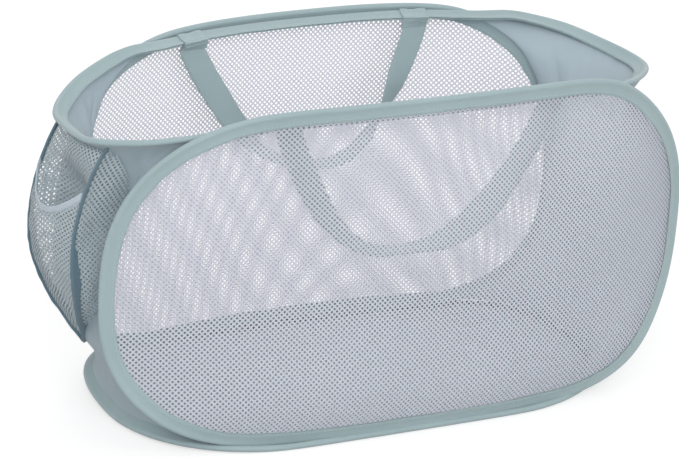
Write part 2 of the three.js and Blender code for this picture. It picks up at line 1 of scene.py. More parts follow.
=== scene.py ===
"""The dressed model of a pop up laundry hamper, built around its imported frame.

Sizes are in millimetres until a mesh is made, where they become metres. X runs along the long
side with the pocket at the low end, Z is up, and the front is at low Y.
"""
import logging
import math
from dataclasses import dataclass, field
from enum import Enum

import bpy
import numpy as np
from mathutils import Matrix, Vector


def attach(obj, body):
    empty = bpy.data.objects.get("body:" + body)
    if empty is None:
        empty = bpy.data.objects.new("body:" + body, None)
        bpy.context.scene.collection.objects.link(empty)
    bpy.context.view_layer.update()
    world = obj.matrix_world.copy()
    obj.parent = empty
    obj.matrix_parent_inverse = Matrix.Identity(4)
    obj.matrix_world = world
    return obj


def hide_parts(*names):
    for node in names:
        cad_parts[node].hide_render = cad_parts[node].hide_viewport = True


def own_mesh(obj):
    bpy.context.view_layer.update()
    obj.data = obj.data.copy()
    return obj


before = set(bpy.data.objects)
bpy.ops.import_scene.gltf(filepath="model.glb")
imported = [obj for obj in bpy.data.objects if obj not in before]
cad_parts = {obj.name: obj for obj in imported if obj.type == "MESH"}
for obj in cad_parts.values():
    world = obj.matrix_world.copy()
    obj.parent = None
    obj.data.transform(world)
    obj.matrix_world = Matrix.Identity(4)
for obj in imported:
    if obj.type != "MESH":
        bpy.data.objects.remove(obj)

Array = np.ndarray
Colour = tuple[float, float, float]

LOG = logging.getLogger("hamper")
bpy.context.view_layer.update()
MM = 0.001
TAU = 2 * math.pi
TINY = 1e-9
UV_NAME = "Cloth"
WHITE = (1.0, 1.0, 1.0, 1.0)
UPWARD = np.array([0.0, 0.0, 1.0])
BACKWARD = np.array([0.0, 1.0, 0.0])


class Side(Enum):
    """Which long side of the hamper a piece belongs to; the value is the sign of its Y."""

    FRONT = -1
    BACK = 1


class End(Enum):
    """Which short end of the hamper a piece belongs to; the value is the sign of its X."""

    LEFT = -1
    RIGHT = 1


# Mesh helpers


@dataclass
class Shape:
    """A mesh under construction.

    points are millimetres, faces are arrays of corner indices with one face size each, and
    uv holds one array of corner coordinates for each of those arrays.
    """

    points: Array
    faces: list[Array]
    uv: list[Array] = field(default_factory=list)
    normals: Array | None = None

    def joined(self, other: "Shape") -> "Shape":
        """Both shapes as one.

        Args:
            other: the shape that comes second.

        Returns:
            The joined shape.
        """
        moved = [faces + len(self.points) for faces in other.faces]
        points = np.vstack([self.points, other.points])
        return Shape(points, self.faces + moved, self.uv + other.uv)


def grid_faces(rows: int, columns: int, close_rows: bool, close_columns: bool) -> tuple[Array, Array]:
    """Quads over a grid of points.

    Args:
        rows: points along the first parameter.
        columns: points along the second parameter.
        close_rows: whether the last row joins the first.
        close_columns: whether the last column joins the first.

    Returns:
        The quads, and for each quad corner its row and column counted without wrapping.
    """
    i = np.arange(rows if close_rows else rows - 1)
    j = np.arange(columns if close_columns else columns - 1)
    ii, jj = (a.ravel() for a in np.meshgrid(i, j, indexing="ij"))
    corner_rows = np.stack([ii, ii + 1, ii + 1, ii], 1)
    corner_columns = np.stack([jj, jj, jj + 1, jj + 1], 1)
    faces = (corner_rows % rows) * columns + corner_columns % columns
    return faces, np.stack([corner_rows, corner_columns], -1)


def grid_shape(grid: Array, u: Array, v: Array, close_rows: bool, close_columns: bool) -> Shape:
    """A surface from a grid of points, with u along its rows and v along its columns.

    Args:
        grid: points as rows by columns by 3.
        u: the first coordinate at each row, one more than the rows where they close.
        v: the second coordinate at each column, one more than the columns where they close.
        close_rows: whether the last row joins the first.
        close_columns: whether the last column joins the first.

    Returns:
        The surface.
    """
    rows, columns = grid.shape[:2]
    faces, corners = grid_faces(rows, columns, close_rows, close_columns)
    uv = np.stack([u[corners[..., 0]], v[corners[..., 1]]], -1)
    return Shape(grid.reshape(-1, 3), [faces], [uv])


def split_quads(quads: Array) -> Array:
    """Two triangles for each quad: all the first halves, then all the second."""
    return np.vstack([quads[:, [0, 1, 2]], quads[:, [0, 2, 3]]])


def unit(vectors: Array) -> Array:
    """Vectors at length one, along the last axis."""
    return vectors / np.maximum(np.linalg.norm(vectors, axis=-1, keepdims=True), TINY)


def surface_normals(grid: Array) -> Array:
    """The normals of a grid of points: the cross product of its two central differences."""
    return unit(np.cross(np.gradient(grid, axis=0), np.gradient(grid, axis=1)))


def even_points(line: Array, count: int) -> tuple[Array, Array]:
    """A line read again at even spacing.

    Each coordinate is interpolated on the length walked along the line.

    Args:
        line: its points.
        count: how many are wanted, the first and the last of the line among them.

    Returns:
        The new points, and the length walked to each.
    """
    steps = np.linalg.norm(np.diff(line, axis=0), axis=1)
    walked = np.concatenate([[0], np.cumsum(steps)])
    wanted = np.linspace(0, walked[-1], count)
    return np.stack([np.interp(wanted, walked, line[:, k]) for k in range(3)], 1), wanted


def soft_power(wave: Array, power: float) -> Array:
    """A signed power of a sine or cosine: below one it squares off a round section."""
    return np.sign(wave) * np.abs(wave) ** power


def rim_faces(faces: Array, count: int) -> Array:
    """Quads that join two layers of a sheet along its open edges.

    Args:
        faces: the first layer's faces.
        count: the points in one layer.

    Returns:
        One quad for each edge that only one face uses.
    """
    size = faces.shape[1]
    edges = np.concatenate([faces[:, [k, (k + 1) % size]] for k in range(size)])
    keys = edges[:, 0].astype(np.int64) * count + edges[:, 1]
    other = edges[:, 1].astype(np.int64) * count + edges[:, 0]
    a, b = edges[~np.isin(keys, other)].T
    return np.stack([b, a, a + count, b + count], 1)


def thick(shape: Shape, normals: Array, half: float) -> Shape:
    """A sheet with two faces and an edge.

    Each point moves along its normal by half the thickness to either side, and quads close the
    open edges.

    Args:
        shape: the middle surface, with one array of faces.
        normals: the normal at each point.
        half: half of the thickness.

    Returns:
        The closed sheet.
    """
    count = len(shape.points)
    faces = shape.faces[0]
    points = np.vstack([shape.points + half * normals, shape.points - half * normals])
    rim = rim_faces(faces, count)
    flat = np.zeros((count, 2))
    flat[faces.ravel()] = shape.uv[0].reshape(-1, 2)
    back = faces[:, ::-1] + count
    edge_uv = flat[rim % count]
    made = Shape(points, [faces, back, rim], [shape.uv[0], shape.uv[0][:, ::-1], edge_uv])
    made.normals = np.vstack([normals, -normals])
    return made


def make_object(
    name: str, shape: Shape, material: bpy.types.Material, crease: float = 40.0
) -> bpy.types.Object:
    """Puts a shape into the scene.

    Args:
        name: the piece's name.
        shape: its points and faces.
        material: its finish.
        crease: edges sharper than this many degrees stay sharp; custom normals replace it.

    Returns:
        The new object, at the origin.
    """
    mesh = bpy.data.meshes.new(name)
    mesh.vertices.add(len(shape.points))
    mesh.vertices.foreach_set("co", (shape.points * MM).astype(np.float32).ravel())
    loops = np.concatenate([faces.ravel() for faces in shape.faces]).astype(np.int32)
    sizes = np.concatenate([np.full(len(faces), faces.shape[1]) for faces in shape.faces])
    mesh.loops.add(len(loops))
    mesh.loops.foreach_set("vertex_index", loops)
    mesh.polygons.add(len(sizes))
    starts = np.concatenate([[0], np.cumsum(sizes)[:-1]]).astype(np.int32)
    mesh.polygons.foreach_set("loop_start", starts)
    mesh.polygons.foreach_set("use_smooth", np.ones(len(sizes), bool))
    mesh.update(calc_edges=True)
    if shape.uv:
        layer = mesh.uv_layers.new(name=UV_NAME)
        uv = np.concatenate([part.reshape(-1, 2) for part in shape.uv]).astype(np.float32)
        layer.data.foreach_set("uv", uv.ravel())
    mesh.materials.append(material)
    if shape.normals is None:
        mesh.set_sharp_from_angle(angle=math.radians(crease))
    else:
        mesh.normals_split_custom_set_from_vertices(shape.normals.astype(np.float32).tolist())
    mesh.validate()
    piece = bpy.data.objects.new(name, mesh)
    bpy.context.scene.collection.objects.link(piece)
    LOG.info("%s: %d points, %d faces", name, len(shape.points), len(sizes))
    return piece


def smooth(share: Array) -> Array:
    """A share eased at both ends: three times its square less twice its cube, held from 0 to 1."""
    held = np.clip(share, 0, 1)
    return held**2 * (3 - 2 * held)


def waves(place: Array, counts: tuple[int, ...], seed: int) -> Array:
    """A smooth closed ripple: a sum of sines with whole counts round a loop, each weaker in turn.

    Args:
        place: shares round the loop, from 0 to 1.
        counts: whole numbers of waves round it.
        seed: chooses the phases.

    Returns:
        The ripple, from about -1 to 1.
    """
    phases = np.random.default_rng(seed).uniform(0, TAU, len(counts))
    weights = 1 / np.arange(1, len(counts) + 1)
    parts = [w * np.sin(TAU * k * place + p) for w, k, p in zip(weights, counts, phases)]
    return np.sum(parts, axis=0) / weights.sum()


# Finishes


class Nodes:
    """The node tree of a material or of the world, with short calls to add and join nodes."""

    # The wave texture turns 20 radians for each unit, so this gives 1.6 ribs for each thread
    RIB_SCALE = 1 / math.pi / 0.636

    def __init__(self, owner: bpy.types.Material | bpy.types.World) -> None:
        """Empties the owner's node tree.

        Args:
            owner: a new material or world.
        """
        owner.use_nodes = True
        self.owner = owner
        self.tree = owner.node_tree
        self.tree.nodes.clear()

    def add(self, kind: str, inputs: dict | None = None, **settings: object) -> bpy.types.Node:
        """Adds a node.

        Args:
            kind: the node's type name without its ShaderNode prefix.
            inputs: values or output sockets by input name or index.
            settings: the node's own properties.

        Returns:
            The node.
        """
        node = self.tree.nodes.new("ShaderNode" + kind)
        for key, value in settings.items():
            setattr(node, key, value)
        for key, value in (inputs or {}).items():
            if isinstance(value, bpy.types.NodeSocket):
                self.tree.links.new(value, node.inputs[key])
            else:
                node.inputs[key].default_value = value
        return node

    def maths(self, operation: str, a: object, b: object = 0.0) -> bpy.types.NodeSocket:
        """One sum on two values or sockets."""
        return self.add("Math", {0: a, 1: b}, operation=operation).outputs[0]

    def uv(self, scale: tuple[float, float]) -> bpy.types.NodeSocket:
        """The piece's own coordinates in millimetres, times a scale along each.

        Args:
            scale: what each coordinate is multiplied by.

        Returns:
            The scaled coordinates.
        """
        coordinates = self.add("UVMap", uv_map=UV_NAME)
        inputs = {"Vector": coordinates.outputs[0], "Scale": (*scale, 1.0)}
        return self.add("Mapping", inputs).outputs[0]

    def place(self) -> bpy.types.NodeSocket:
        """Object coordinates, in metres."""
        return self.add("TexCoord").outputs["Object"]

    def noise(self, vector: bpy.types.NodeSocket, scale: float, detail: float) -> bpy.types.NodeSocket:
        """A noise from 0 to 1."""
        return self.add("TexNoise", {"Vector": vector, "Scale": scale, "Detail": detail}).outputs[0]

    def ribs(self, vector: bpy.types.NodeSocket, direction: str) -> bpy.types.NodeSocket:
        """Sine bands along one coordinate."""
        inputs = {"Vector": vector, "Scale": self.RIB_SCALE, "Distortion": 0.0}
        return self.add("TexWave", inputs, bands_direction=direction, wave_profile="SIN").outputs[1]

    def mix(self, share: bpy.types.NodeSocket, a: Colour, b: Colour) -> bpy.types.NodeSocket:
        """A colour between two, by a share."""
        node = self.add("Mix", {0: share, 6: (*a, 1.0), 7: (*b, 1.0)}, data_type="RGBA")
        return node.outputs[2]

    def watched(self) -> bpy.types.NodeSocket:
        """One for the camera's own rays and for those it sees through gloss or glass, else nothing.

        Returns:
            The socket with that value.
        """
        path = self.add("LightPath").outputs
        direct = self.maths("MAXIMUM", path["Is Camera Ray"], path["Is Glossy Ray"])
        return self.maths("MAXIMUM", direct, path["Is Transmission Ray"])

    def finish(self, shader: bpy.types.NodeSocket, kind: str = "Material") -> bpy.types.ID:
        """Joins a shader to the output, and returns the material or world that owns the tree."""
        self.add("Output" + kind, {"Surface": shader})
        return self.owner


@dataclass(frozen=True)
class Woven:
    """A woven fabric: threads both ways, slow colour changes, a soft sheen and some light through it."""

    name: str
    colour: Colour
    shade: Colour
    thread: tuple[float, float]
    relief: float
    roughness: float
    sheen: float
    through: float = 0.0
    rib_share: float = 0.5
    blotch_scale: float = 14.0
    fuzz_scale: float = 900.0
    blotch_tint: float = 0.75
    relief_tint: float = 0.18
    relief_depth: float = 0.0004
    specular: float = 0.25

    def material(self) -> bpy.types.Material:
        """Builds the material.

        Rib waves on the piece's own coordinates, multiplied crosswise, and a fine noise make the
        relief. That and a slow noise choose the place between the shade and the colour.

        Returns:
            The material.
        """
        n = Nodes(bpy.data.materials.new(self.name))
        threads = n.uv((1 / self.thread[0], 1 / self.thread[1]))
        along, across = n.ribs(threads, "X"), n.ribs(threads, "Y")
        cross = n.maths("MULTIPLY", n.maths("SUBTRACT", along, 0.5), n.maths("SUBTRACT", across, 0.5))
        slow = n.noise(n.place(), self.blotch_scale, 4.0)
        fine = n.noise(n.place(), self.fuzz_scale, 2.0)
        ribbed = n.maths("MULTIPLY", along, self.rib_share)
        relief = n.maths("ADD", n.maths("MULTIPLY", cross, 2.0), n.maths("ADD", ribbed, fine))
        blotch = n.maths("MULTIPLY", slow, self.blotch_tint)
        tint = n.maths("ADD", blotch, n.maths("MULTIPLY", relief, self.relief_tint))
        inputs = {"Height": relief, "Strength": self.relief, "Distance": self.relief_depth}
        bump = n.add("Bump", inputs)
        inputs = {
            "Base Color": n.mix(tint, self.shade, self.colour), "Roughness": self.roughness,
            "Sheen Weight": self.sheen, "Sheen Roughness": 0.5, "Normal": bump.outputs[0],
            "Specular IOR Level": self.specular,
        }
        cloth = n.add("BsdfPrincipled", inputs).outputs[0]
        if self.through:
            inputs = {"Color": (*self.colour, 1.0), "Normal": bump.outputs[0]}
            glow = n.add("BsdfTranslucent", inputs).outputs[0]
            cloth = n.add("MixShader", {0: self.through, 1: cloth, 2: glow}).outputs[0]
        return n.finish(cloth)


@dataclass(frozen=True)
class Steel:
    """Spring steel wire: drawn along its length, with faint rust specks."""

    name: str = "spring_steel"
    colour: Colour = (0.45, 0.46, 0.48)
    rust: Colour = (0.24, 0.17, 0.12)
    roughness: float = 0.38
    streak_stretch: tuple[float, float] = (0.02, 2.0)
    streak_roughness: float = 0.2
    speck_scale: float = 220.0
    speck_level: float = 0.66

    def material(self) -> bpy.types.Material:
        """Builds the material: fine streaks along the wire and a few dull specks.

        Returns:
            The material.
        """
        n = Nodes(bpy.data.materials.new(self.name))
        streak = n.noise(n.uv(self.streak_stretch), 3.0, 5.0)
        spots = n.noise(n.place(), self.speck_scale, 2.0)
        speck = n.maths("GREATER_THAN", spots, self.speck_level)
        rough = n.maths("ADD", n.maths("MULTIPLY", streak, self.streak_roughness), self.roughness)
        bump = n.add("Bump", {"Height": streak, "Strength": 0.1, "Distance": 0.0002})
        inputs = {
            "Base Color": n.mix(speck, self.colour, self.rust), "Metallic": 1.0, "Roughness": rough,
            "Normal": bump.outputs[0],
        }
        return n.finish(n.add("BsdfPrincipled", inputs).outputs[0])


TAPE = Woven(
    "sage_tape", colour=(0.355, 0.451, 0.468), shade=(0.288, 0.382, 0.398), thread=(0.9, 0.7),
    relief=0.3, roughness=0.78, sheen=0.3,
)
CLOTH = Woven(
    "blue_grey_cloth", colour=(0.47, 0.56, 0.605), shade=(0.39, 0.48, 0.53), thread=(0.45, 0.45),
    relief=0.2, roughness=0.7, sheen=0.2, through=0.18,
)
NET = Woven(
    "white_net", colour=(0.679, 0.688, 0.753), shade=(0.632, 0.64, 0.713), thread=(0.6, 0.6),
    relief=0.35, roughness=0.6, sheen=0.2, through=0.3,
)
# The pocket net's own blue-grey tone, darkened by about a fifth as painted shade for the dark inside of
# the pocket behind it.
SHADED_POCKET_NET = Woven(
    "pocket_net", colour=(0.541, 0.607, 0.638), shade=(0.451, 0.525, 0.563), thread=(0.6, 0.6),
    relief=0.35, roughness=0.6, sheen=0.2, through=0.25,
)
HEM = Woven(
    "pale_hem", colour=(0.50, 0.57, 0.63), shade=(0.42, 0.49, 0.55), thread=(0.5, 0.5),
    relief=0.3, roughness=0.7, sheen=0.2,
)
PIPING = Woven(
    "slate_piping", colour=(0.13, 0.21, 0.26), shade=(0.08, 0.14, 0.18), thread=(0.6, 0.6),
    relief=0.35, roughness=0.7, sheen=0.3,
)
THREAD = Woven(
    "sewing_thread", colour=(0.44, 0.56, 0.56), shade=(0.34, 0.45, 0.45), thread=(0.3, 0.3),
    relief=0.4, roughness=0.6, sheen=0.3,
)


# Lines that the pieces follow


@dataclass
class Frames:
    """Points along a line, each with the directions along it, in from its outer edge and off its face."""

    origin: Array
    along: Array
    inward: Array
    lift: Array
    length: float

    def at(self, places: Array) -> "Frames":
        """The same line read at other shares of its closed length, by straight interpolation.

        Args:
            places: shares of the closed length.

        Returns:
            The line at those places.
        """
        count = len(self.origin)
        where = (places % 1.0) * count
        low = np.floor(where).astype(int) % count
        share = (where - np.floor(where))[:, None]
        high = (low + 1) % count
        parts = [a[low] * (1 - share) + a[high] * share for a in self.fields()]
        return Frames(parts[0], unit(parts[1]), unit(parts[2]), unit(parts[3]), self.length)

    def fields(self) -> tuple[Array, Array, Array, Array]:
        """The four arrays in order."""
        return self.origin, self.along, self.inward, self.lift

    def offset(self, inset: Array | float, height: Array | float) -> Array:
        """Points a distance in from the outer edge and off the face."""
        inset, height = np.asarray(inset, float), np.asarray(height, float)
        return self.origin + inset[..., None] * self.inward + height[..., None] * self.lift


@dataclass
class Outline:
    """A closed oblong with round corners.

    Each coordinate is a straight run plus a corner reach times a power of the cosine or sine of a
    turning angle, and the points are then spaced evenly along it. The blunt lengths flatten either
    tip. The high-X end can lean towards the back by a shift that grows over the last part of the
    length, and be shorter by a trimmed share.
    """

    half_length: float
    half_width: float
    reach_x: float
    power: float
    blunt_left: float = 0.0
    blunt_right: float = 0.0
    lean: float = 0.0
    trim: float = 0.0
    lean_from: float = 0.6
    corner_crispness: float = 12.0
    fineness: int = 20

    def share(self, x: Array) -> Array:
        """How far out an X is: nothing in the middle and one at either tip."""
        return np.abs(x) / (self.half_length * np.where(x > 0, 1 - self.trim, 1.0))

    def points(self, count: int) -> Array:
        """Points at even spacing, starting at the high-X tip and turning anticlockwise.

        Args:
            count: how many.

        Returns:
            The points, count by 2.
        """
        turn = np.linspace(0, TAU, self.fineness * count, endpoint=False)
        c, s = np.cos(turn), np.sin(turn)
        crisp, bend = self.corner_crispness, 2 / self.power
        blunt = self.blunt_left + (self.blunt_right - self.blunt_left) * smooth(c + 0.5)
        straight = self.half_length - self.reach_x
        x = straight * np.tanh(crisp * c) + self.reach_x * soft_power(c, bend)
        y = blunt * np.tanh(crisp * s) + soft_power(s, bend) * (self.half_width - blunt)
        past = x / self.half_length - self.lean_from
        y += self.lean * smooth(past / (1 - self.lean_from))
        x = np.where(x > 0, x * (1 - self.trim), x)
        loop = np.stack([x, y], 1)
        steps = np.linalg.norm(np.roll(loop, -1, 0) - loop, axis=1)
        walked = np.concatenate([[0], np.cumsum(steps)])
        wanted = np.linspace(0, walked[-1], count, endpoint=False)
        closed = np.vstack([loop, loop[:1]])
        return np.stack([np.interp(wanted, walked, closed[:, k]) for k in range(2)], 1)

    def flat_size(self) -> tuple[float, float]:
        """Its whole length and width in metres."""
        return 2 * self.half_length * MM, 2 * self.half_width * MM

    def holds(self, x: Array, y: Array, inset: float) -> Array:
        """Whether points lie inside the outline by at least an inset.

        Args:
            x: distances along.
            y: distances aside.
            inset: how far inside the edge.

        Returns:
            True for each point inside.
        """
        out = self.share(x) * self.half_length
        along = np.maximum(0, out - (self.half_length - self.reach_x)) / (self.reach_x - inset)
        aside = np.abs(y) / (self.half_width - inset)
        return along**self.power + aside**self.power < 1


@dataclass
class SideHoop:
    """A front or back hoop: upright, with its ends drawn in by the cloth and a little low."""

    side: Side
    outline: Outline
    plane: float = 130.5
    foot: float = 4.6
    bow: float = 56.0
    bow_power: float = 2.5
    dip: float = 11.0
    sink: float = 0.0
    sink_from: float = 190.0
    sink_run: float = 80.0
    sink_rise: float = 100.0
    belly: float = 0.0
    belly_at: float = 0.25
    stations: int = 420

    def depth(self, x: Array, y: Array | float = 0.0) -> Array:
        """Y of the panel at a place: its plane, less a power of the share of the half length.

        Its lower part can swell out: the height times a bell curve of that height, so it starts at
        the foot, has its crest a quarter of the way to the middle and dies away at the ends.

        Args:
            x: distances along.
            y: distances up from the middle.

        Returns:
            Y of each place.
        """
        share = self.outline.share(x)
        up = (np.asarray(y) / self.outline.half_width + 1) / self.belly_at
        swell = self.belly * up * np.exp((1 - up**2) / 2) * (1 - np.minimum(share, 1) ** 4)
        return self.side.value * (self.plane - self.bow * share**self.bow_power + swell)

    def height(self, x: Array, y: Array) -> Array:
        """Z of a point of the flat outline: its middle plus y, lowered at the ends.

        The upper corner at the high-X end can sink a little more.

        Args:
            x: distances along.
            y: distances up from the middle.

        Returns:
            Z of each place.
        """
        share = self.outline.share(x)
        corner = smooth((x - self.sink_from) / self.sink_run) * smooth(y / self.sink_rise)
        return self.foot + self.outline.half_width + y - self.dip * share**3 - self.sink * corner

    def place(self, x: Array, y: Array, off: Array | float = 0.0) -> Array:
        """Puts flat outline coordinates on the bowed panel, with a distance off its outer face.

        The panel's direction outwards comes from the slopes of its depth along and up.

        Args:
            x: distances along.
            y: distances up from the middle.
            off: distances off the outer face.

        Returns:
            The points in space.
        """
        step = 0.5
        slope = (self.depth(x + step, y) - self.depth(x - step, y)) / (2 * step)
        rise = (self.depth(x, y + step) - self.depth(x, y - step)) / (2 * step)
        out = self.side.value * unit(np.stack([-slope, np.ones_like(x), -rise], -1))
        at = np.stack([x, self.depth(x, y), self.height(x, y)], -1)
        return at + np.asarray(off, float)[..., None] * out

    def frames(self) -> Frames:
        """The hoop's outer edge with the panel's outward normal as lift.

        Returns:
            The frames.
        """
        flat = self.outline.points(self.stations)
        origin = self.place(flat[:, 0], flat[:, 1])
        lift = unit(self.place(flat[:, 0], flat[:, 1], 1.0) - origin)
        return closed_frames(origin, lift, np.array([0.0, 0.0, self.foot + self.outline.half_width]))


@dataclass
class LevelHoop:
    """The mouth's hoop or the base's hoop: level in the middle, and its ends may droop."""

    outline: Outline
    height: float
    droop: float = 0.0
    fold_front: float = 0.0
    fold_back: float = 0.0
    fold_tip: float = 0.0
    shift: float = 0.0
    droop_power: float = 2.0
    tilt: float = 0.0
    tilt_over: tuple[float, float, float, float] = (120.0, 80.0, 255.0, 50.0)
    lift: float = 0.0
    lift_over: tuple[float, float, float, float] = (100.0, 120.0, -40.0, 120.0)
    guards: tuple[SideHoop, ...] = ()
    guard_gap: float = 8.5
    guard_over: tuple[float, float] = (135.0, 65.0)
    wall_gap: float = 3.4
    wall_over: tuple[float, float] = (165.0, 55.0)
    stations: int = 420

    def rise(self, x: Array, y: Array) -> Array:
        """Z at a place: the height less the droop times a power of the share along.

        Near the ends it tilts with the depth, and a lift eases in towards the back of the low-X
        end. Where side hoops guard it, it also stays a gap below the front one's top. Each easing
        has the place where it starts and the distance that it takes.

        Args:
            x: distances along.
            y: distances back.

        Returns:
            Z of each place.
        """
        z = self.height - self.droop * (np.abs(x) / self.outline.half_length) ** self.droop_power
        start, run, stop, fade = self.tilt_over
        ends = smooth((np.abs(x) - start) / run) * (1 - smooth((np.abs(x) - stop) / fade))
        z += self.tilt * ends * y / self.outline.half_width
        along, run, deep, fade = self.lift_over
        z += self.lift * smooth((-x - along) / run) * smooth((y - deep) / fade)
        if not self.guards:
            return z
        guard = self.guards[0]
        side = guard.outline
        past = np.clip(1 - side.half_length * (1 - side.share(x)) / side.reach_x, 0, 1)
        crest = side.half_width * (1 - past**side.power) ** (1 / side.power)
        lid = guard.height(x, crest) - self.guard_gap
        start, run = self.guard_over
        away = smooth((np.abs(x) - start) / run)
        return np.minimum(z, lid) * (1 - away) + z * away

    def fold(self, x: Array, y: Array) -> Array:
        """How far the tape is folded down at a place, in radians.

        It eases from the front's angle to the back's across the depth, and to the tips' angle over
        the outer half of the length.

        Args:
            x: distances along.
            y: distances back.

        Returns:
            The angles.
        """
        across = smooth((y / self.outline.half_width + 1) / 2)
        level = self.fold_front + (self.fold_back - self.fold_front) * across
        tip = smooth(np.abs(x - self.shift) / self.outline.half_length * 1.9 - 0.9)
        return np.radians(level + (self.fold_tip - level) * tip)

    def frames(self) -> Frames:
        """The hoop's outer edge, kept inside its guards, with its tape folded towards the inside.

        Returns:
            The frames.
        """
        flat = self.outline.points(self.stations) + [self.shift, 0.0]
        start, run = self.wall_over
        for guard in self.guards:
            wall = guard.side.value * guard.depth(flat[:, 0]) - self.wall_gap
            over = np.maximum(0, guard.side.value * flat[:, 1] - wall)
            flat[:, 1] -= guard.side.value * over * (1 - smooth((np.abs(flat[:, 0]) - start) / run))
        origin = np.stack([flat[:, 0], flat[:, 1], self.rise(flat[:, 0], flat[:, 1])], 1)
        up = np.tile(UPWARD, (len(origin), 1))
        line = closed_frames(origin, up, np.array([self.shift, 0.0, self.height]))
        turn = self.fold(flat[:, 0], flat[:, 1])[:, None]
        inward = np.cos(turn) * line.inward - np.sin(turn) * line.lift
        lift = np.cos(turn) * line.lift + np.sin(turn) * line.inward
        return Frames(line.origin, line.along, inward, lift, line.length)


def closed_frames(origin: Array, lift: Array, centre: Array) -> Frames:
    """Frames for a closed line.

    The direction along is the central difference, the inward one is square to that and to the
    lift and points to the centre, and the lift is then squared to both.

    Args:
        origin: the line's points.
        lift: a rough direction off the face at each.
        centre: a point inside the loop.

    Returns:
        The frames.
    """
    after, before = np.roll(origin, -1, 0), np.roll(origin, 1, 0)
    along = unit(after - before)
    inward = unit(np.cross(lift, along))
    inward *= np.sign(np.sum(inward * (centre - origin), axis=1, keepdims=True))
    square = unit(np.cross(along, inward))
    square *= np.sign(np.sum(square * lift, axis=1, keepdims=True))
    length = float(np.linalg.norm(after - origin, axis=1).sum())
    return Frames(origin, along, inward, square, length)


FRONT_LINE = SideHoop(
    Side.FRONT, Outline(half_length=300.0, half_width=159.5, reach_x=184.5, power=2.5),
    foot=3.0, sink=7.0, belly=12.0,
)
BACK_LINE = SideHoop(
    Side.BACK, Outline(half_length=281.0, half_width=158.7, reach_x=168.0, power=2.5, trim=0.1),
    bow=64.0,
)
TOP_LINE = LevelHoop(
    Outline(
        half_length=304.0, half_width=127.0, reach_x=250.0, power=2.05, blunt_left=17.0,
        blunt_right=2.0, lean=20.0, trim=0.016,
    ),
    height=323.0, droop=42.0, droop_power=2.2, tilt=5.0, fold_front=60.0, fold_back=8.0,
    fold_tip=24.0, guards=(FRONT_LINE, BACK_LINE),
)
BASE_LINE = LevelHoop(
    Outline(half_length=250.0, half_width=137.0, reach_x=158.0, power=2.4),
    height=3.15, fold_front=4.0, fold_back=-8.0, fold_tip=-45.0, shift=-8.0, lift=8.0,
)


# Sewn pieces

TAPE_CREASE = 60.0
LEAST_CUT = 0.32


@dataclass
class Stitching:
    """Rows of sewing thread: short spindles that follow a line."""

    pitch: float = 3.9
    length: float = 2.7
    half_width: float = 0.32
    half_height: float = 0.22
    shoulder: float = 0.28
    sides: int = 5

    def template(self) -> tuple[Array, Array]:
        """One spindle, with the along, across and up shares of its points, and its triangles.

        It has a tip, two rings of points as far out as its shoulders, and the other tip.

        Returns:
            The points and the triangles.
        """
        sides = self.sides
        k = np.arange(sides)
        turn = k * TAU / sides
        circle = np.stack([np.cos(turn), np.sin(turn)], 1)
        rings = [np.column_stack([np.full(sides, at), circle]) for at in (-self.shoulder, self.shoulder)]
        points = np.vstack([[-0.5, 0, 0], *rings, [0.5, 0, 0]])
        low, low_next = 1 + k, 1 + (k + 1) % sides
        high, high_next = low + sides, low_next + sides
        first = np.stack([0 * k, low_next, low], 1)
        one = np.stack([low, low_next, high_next], 1)
        other = np.stack([low, high_next, high], 1)
        last = np.stack([0 * k + 2 * sides + 1, high, high_next], 1)
        return points, np.vstack([first, one, other, last])

    def row(self, at: Array, along: Array, across: Array, up: Array) -> Shape:
        """One spindle at each place given.

        Args:
            at: the middles.
            along: the direction of each.
            across: sideways.
            up: off the cloth.

        Returns:
            All spindles as one shape.
        """
        points, faces = self.template()
        size = np.array([self.length, self.half_width, self.half_height])
        local = points * size
        axes = np.stack([along, across, up], 1)
        placed = at[:, None] + np.einsum("pk,nkc->npc", local, axes)
        count = len(points)
        shifted = faces[None] + (np.arange(len(at)) * count)[:, None, None]
        all_faces = shifted.reshape(-1, 3)
        uv = np.tile(points[faces][..., :2] * self.length, (len(at), 1, 1))
        return Shape(placed.reshape(-1, 3), [all_faces], [uv])


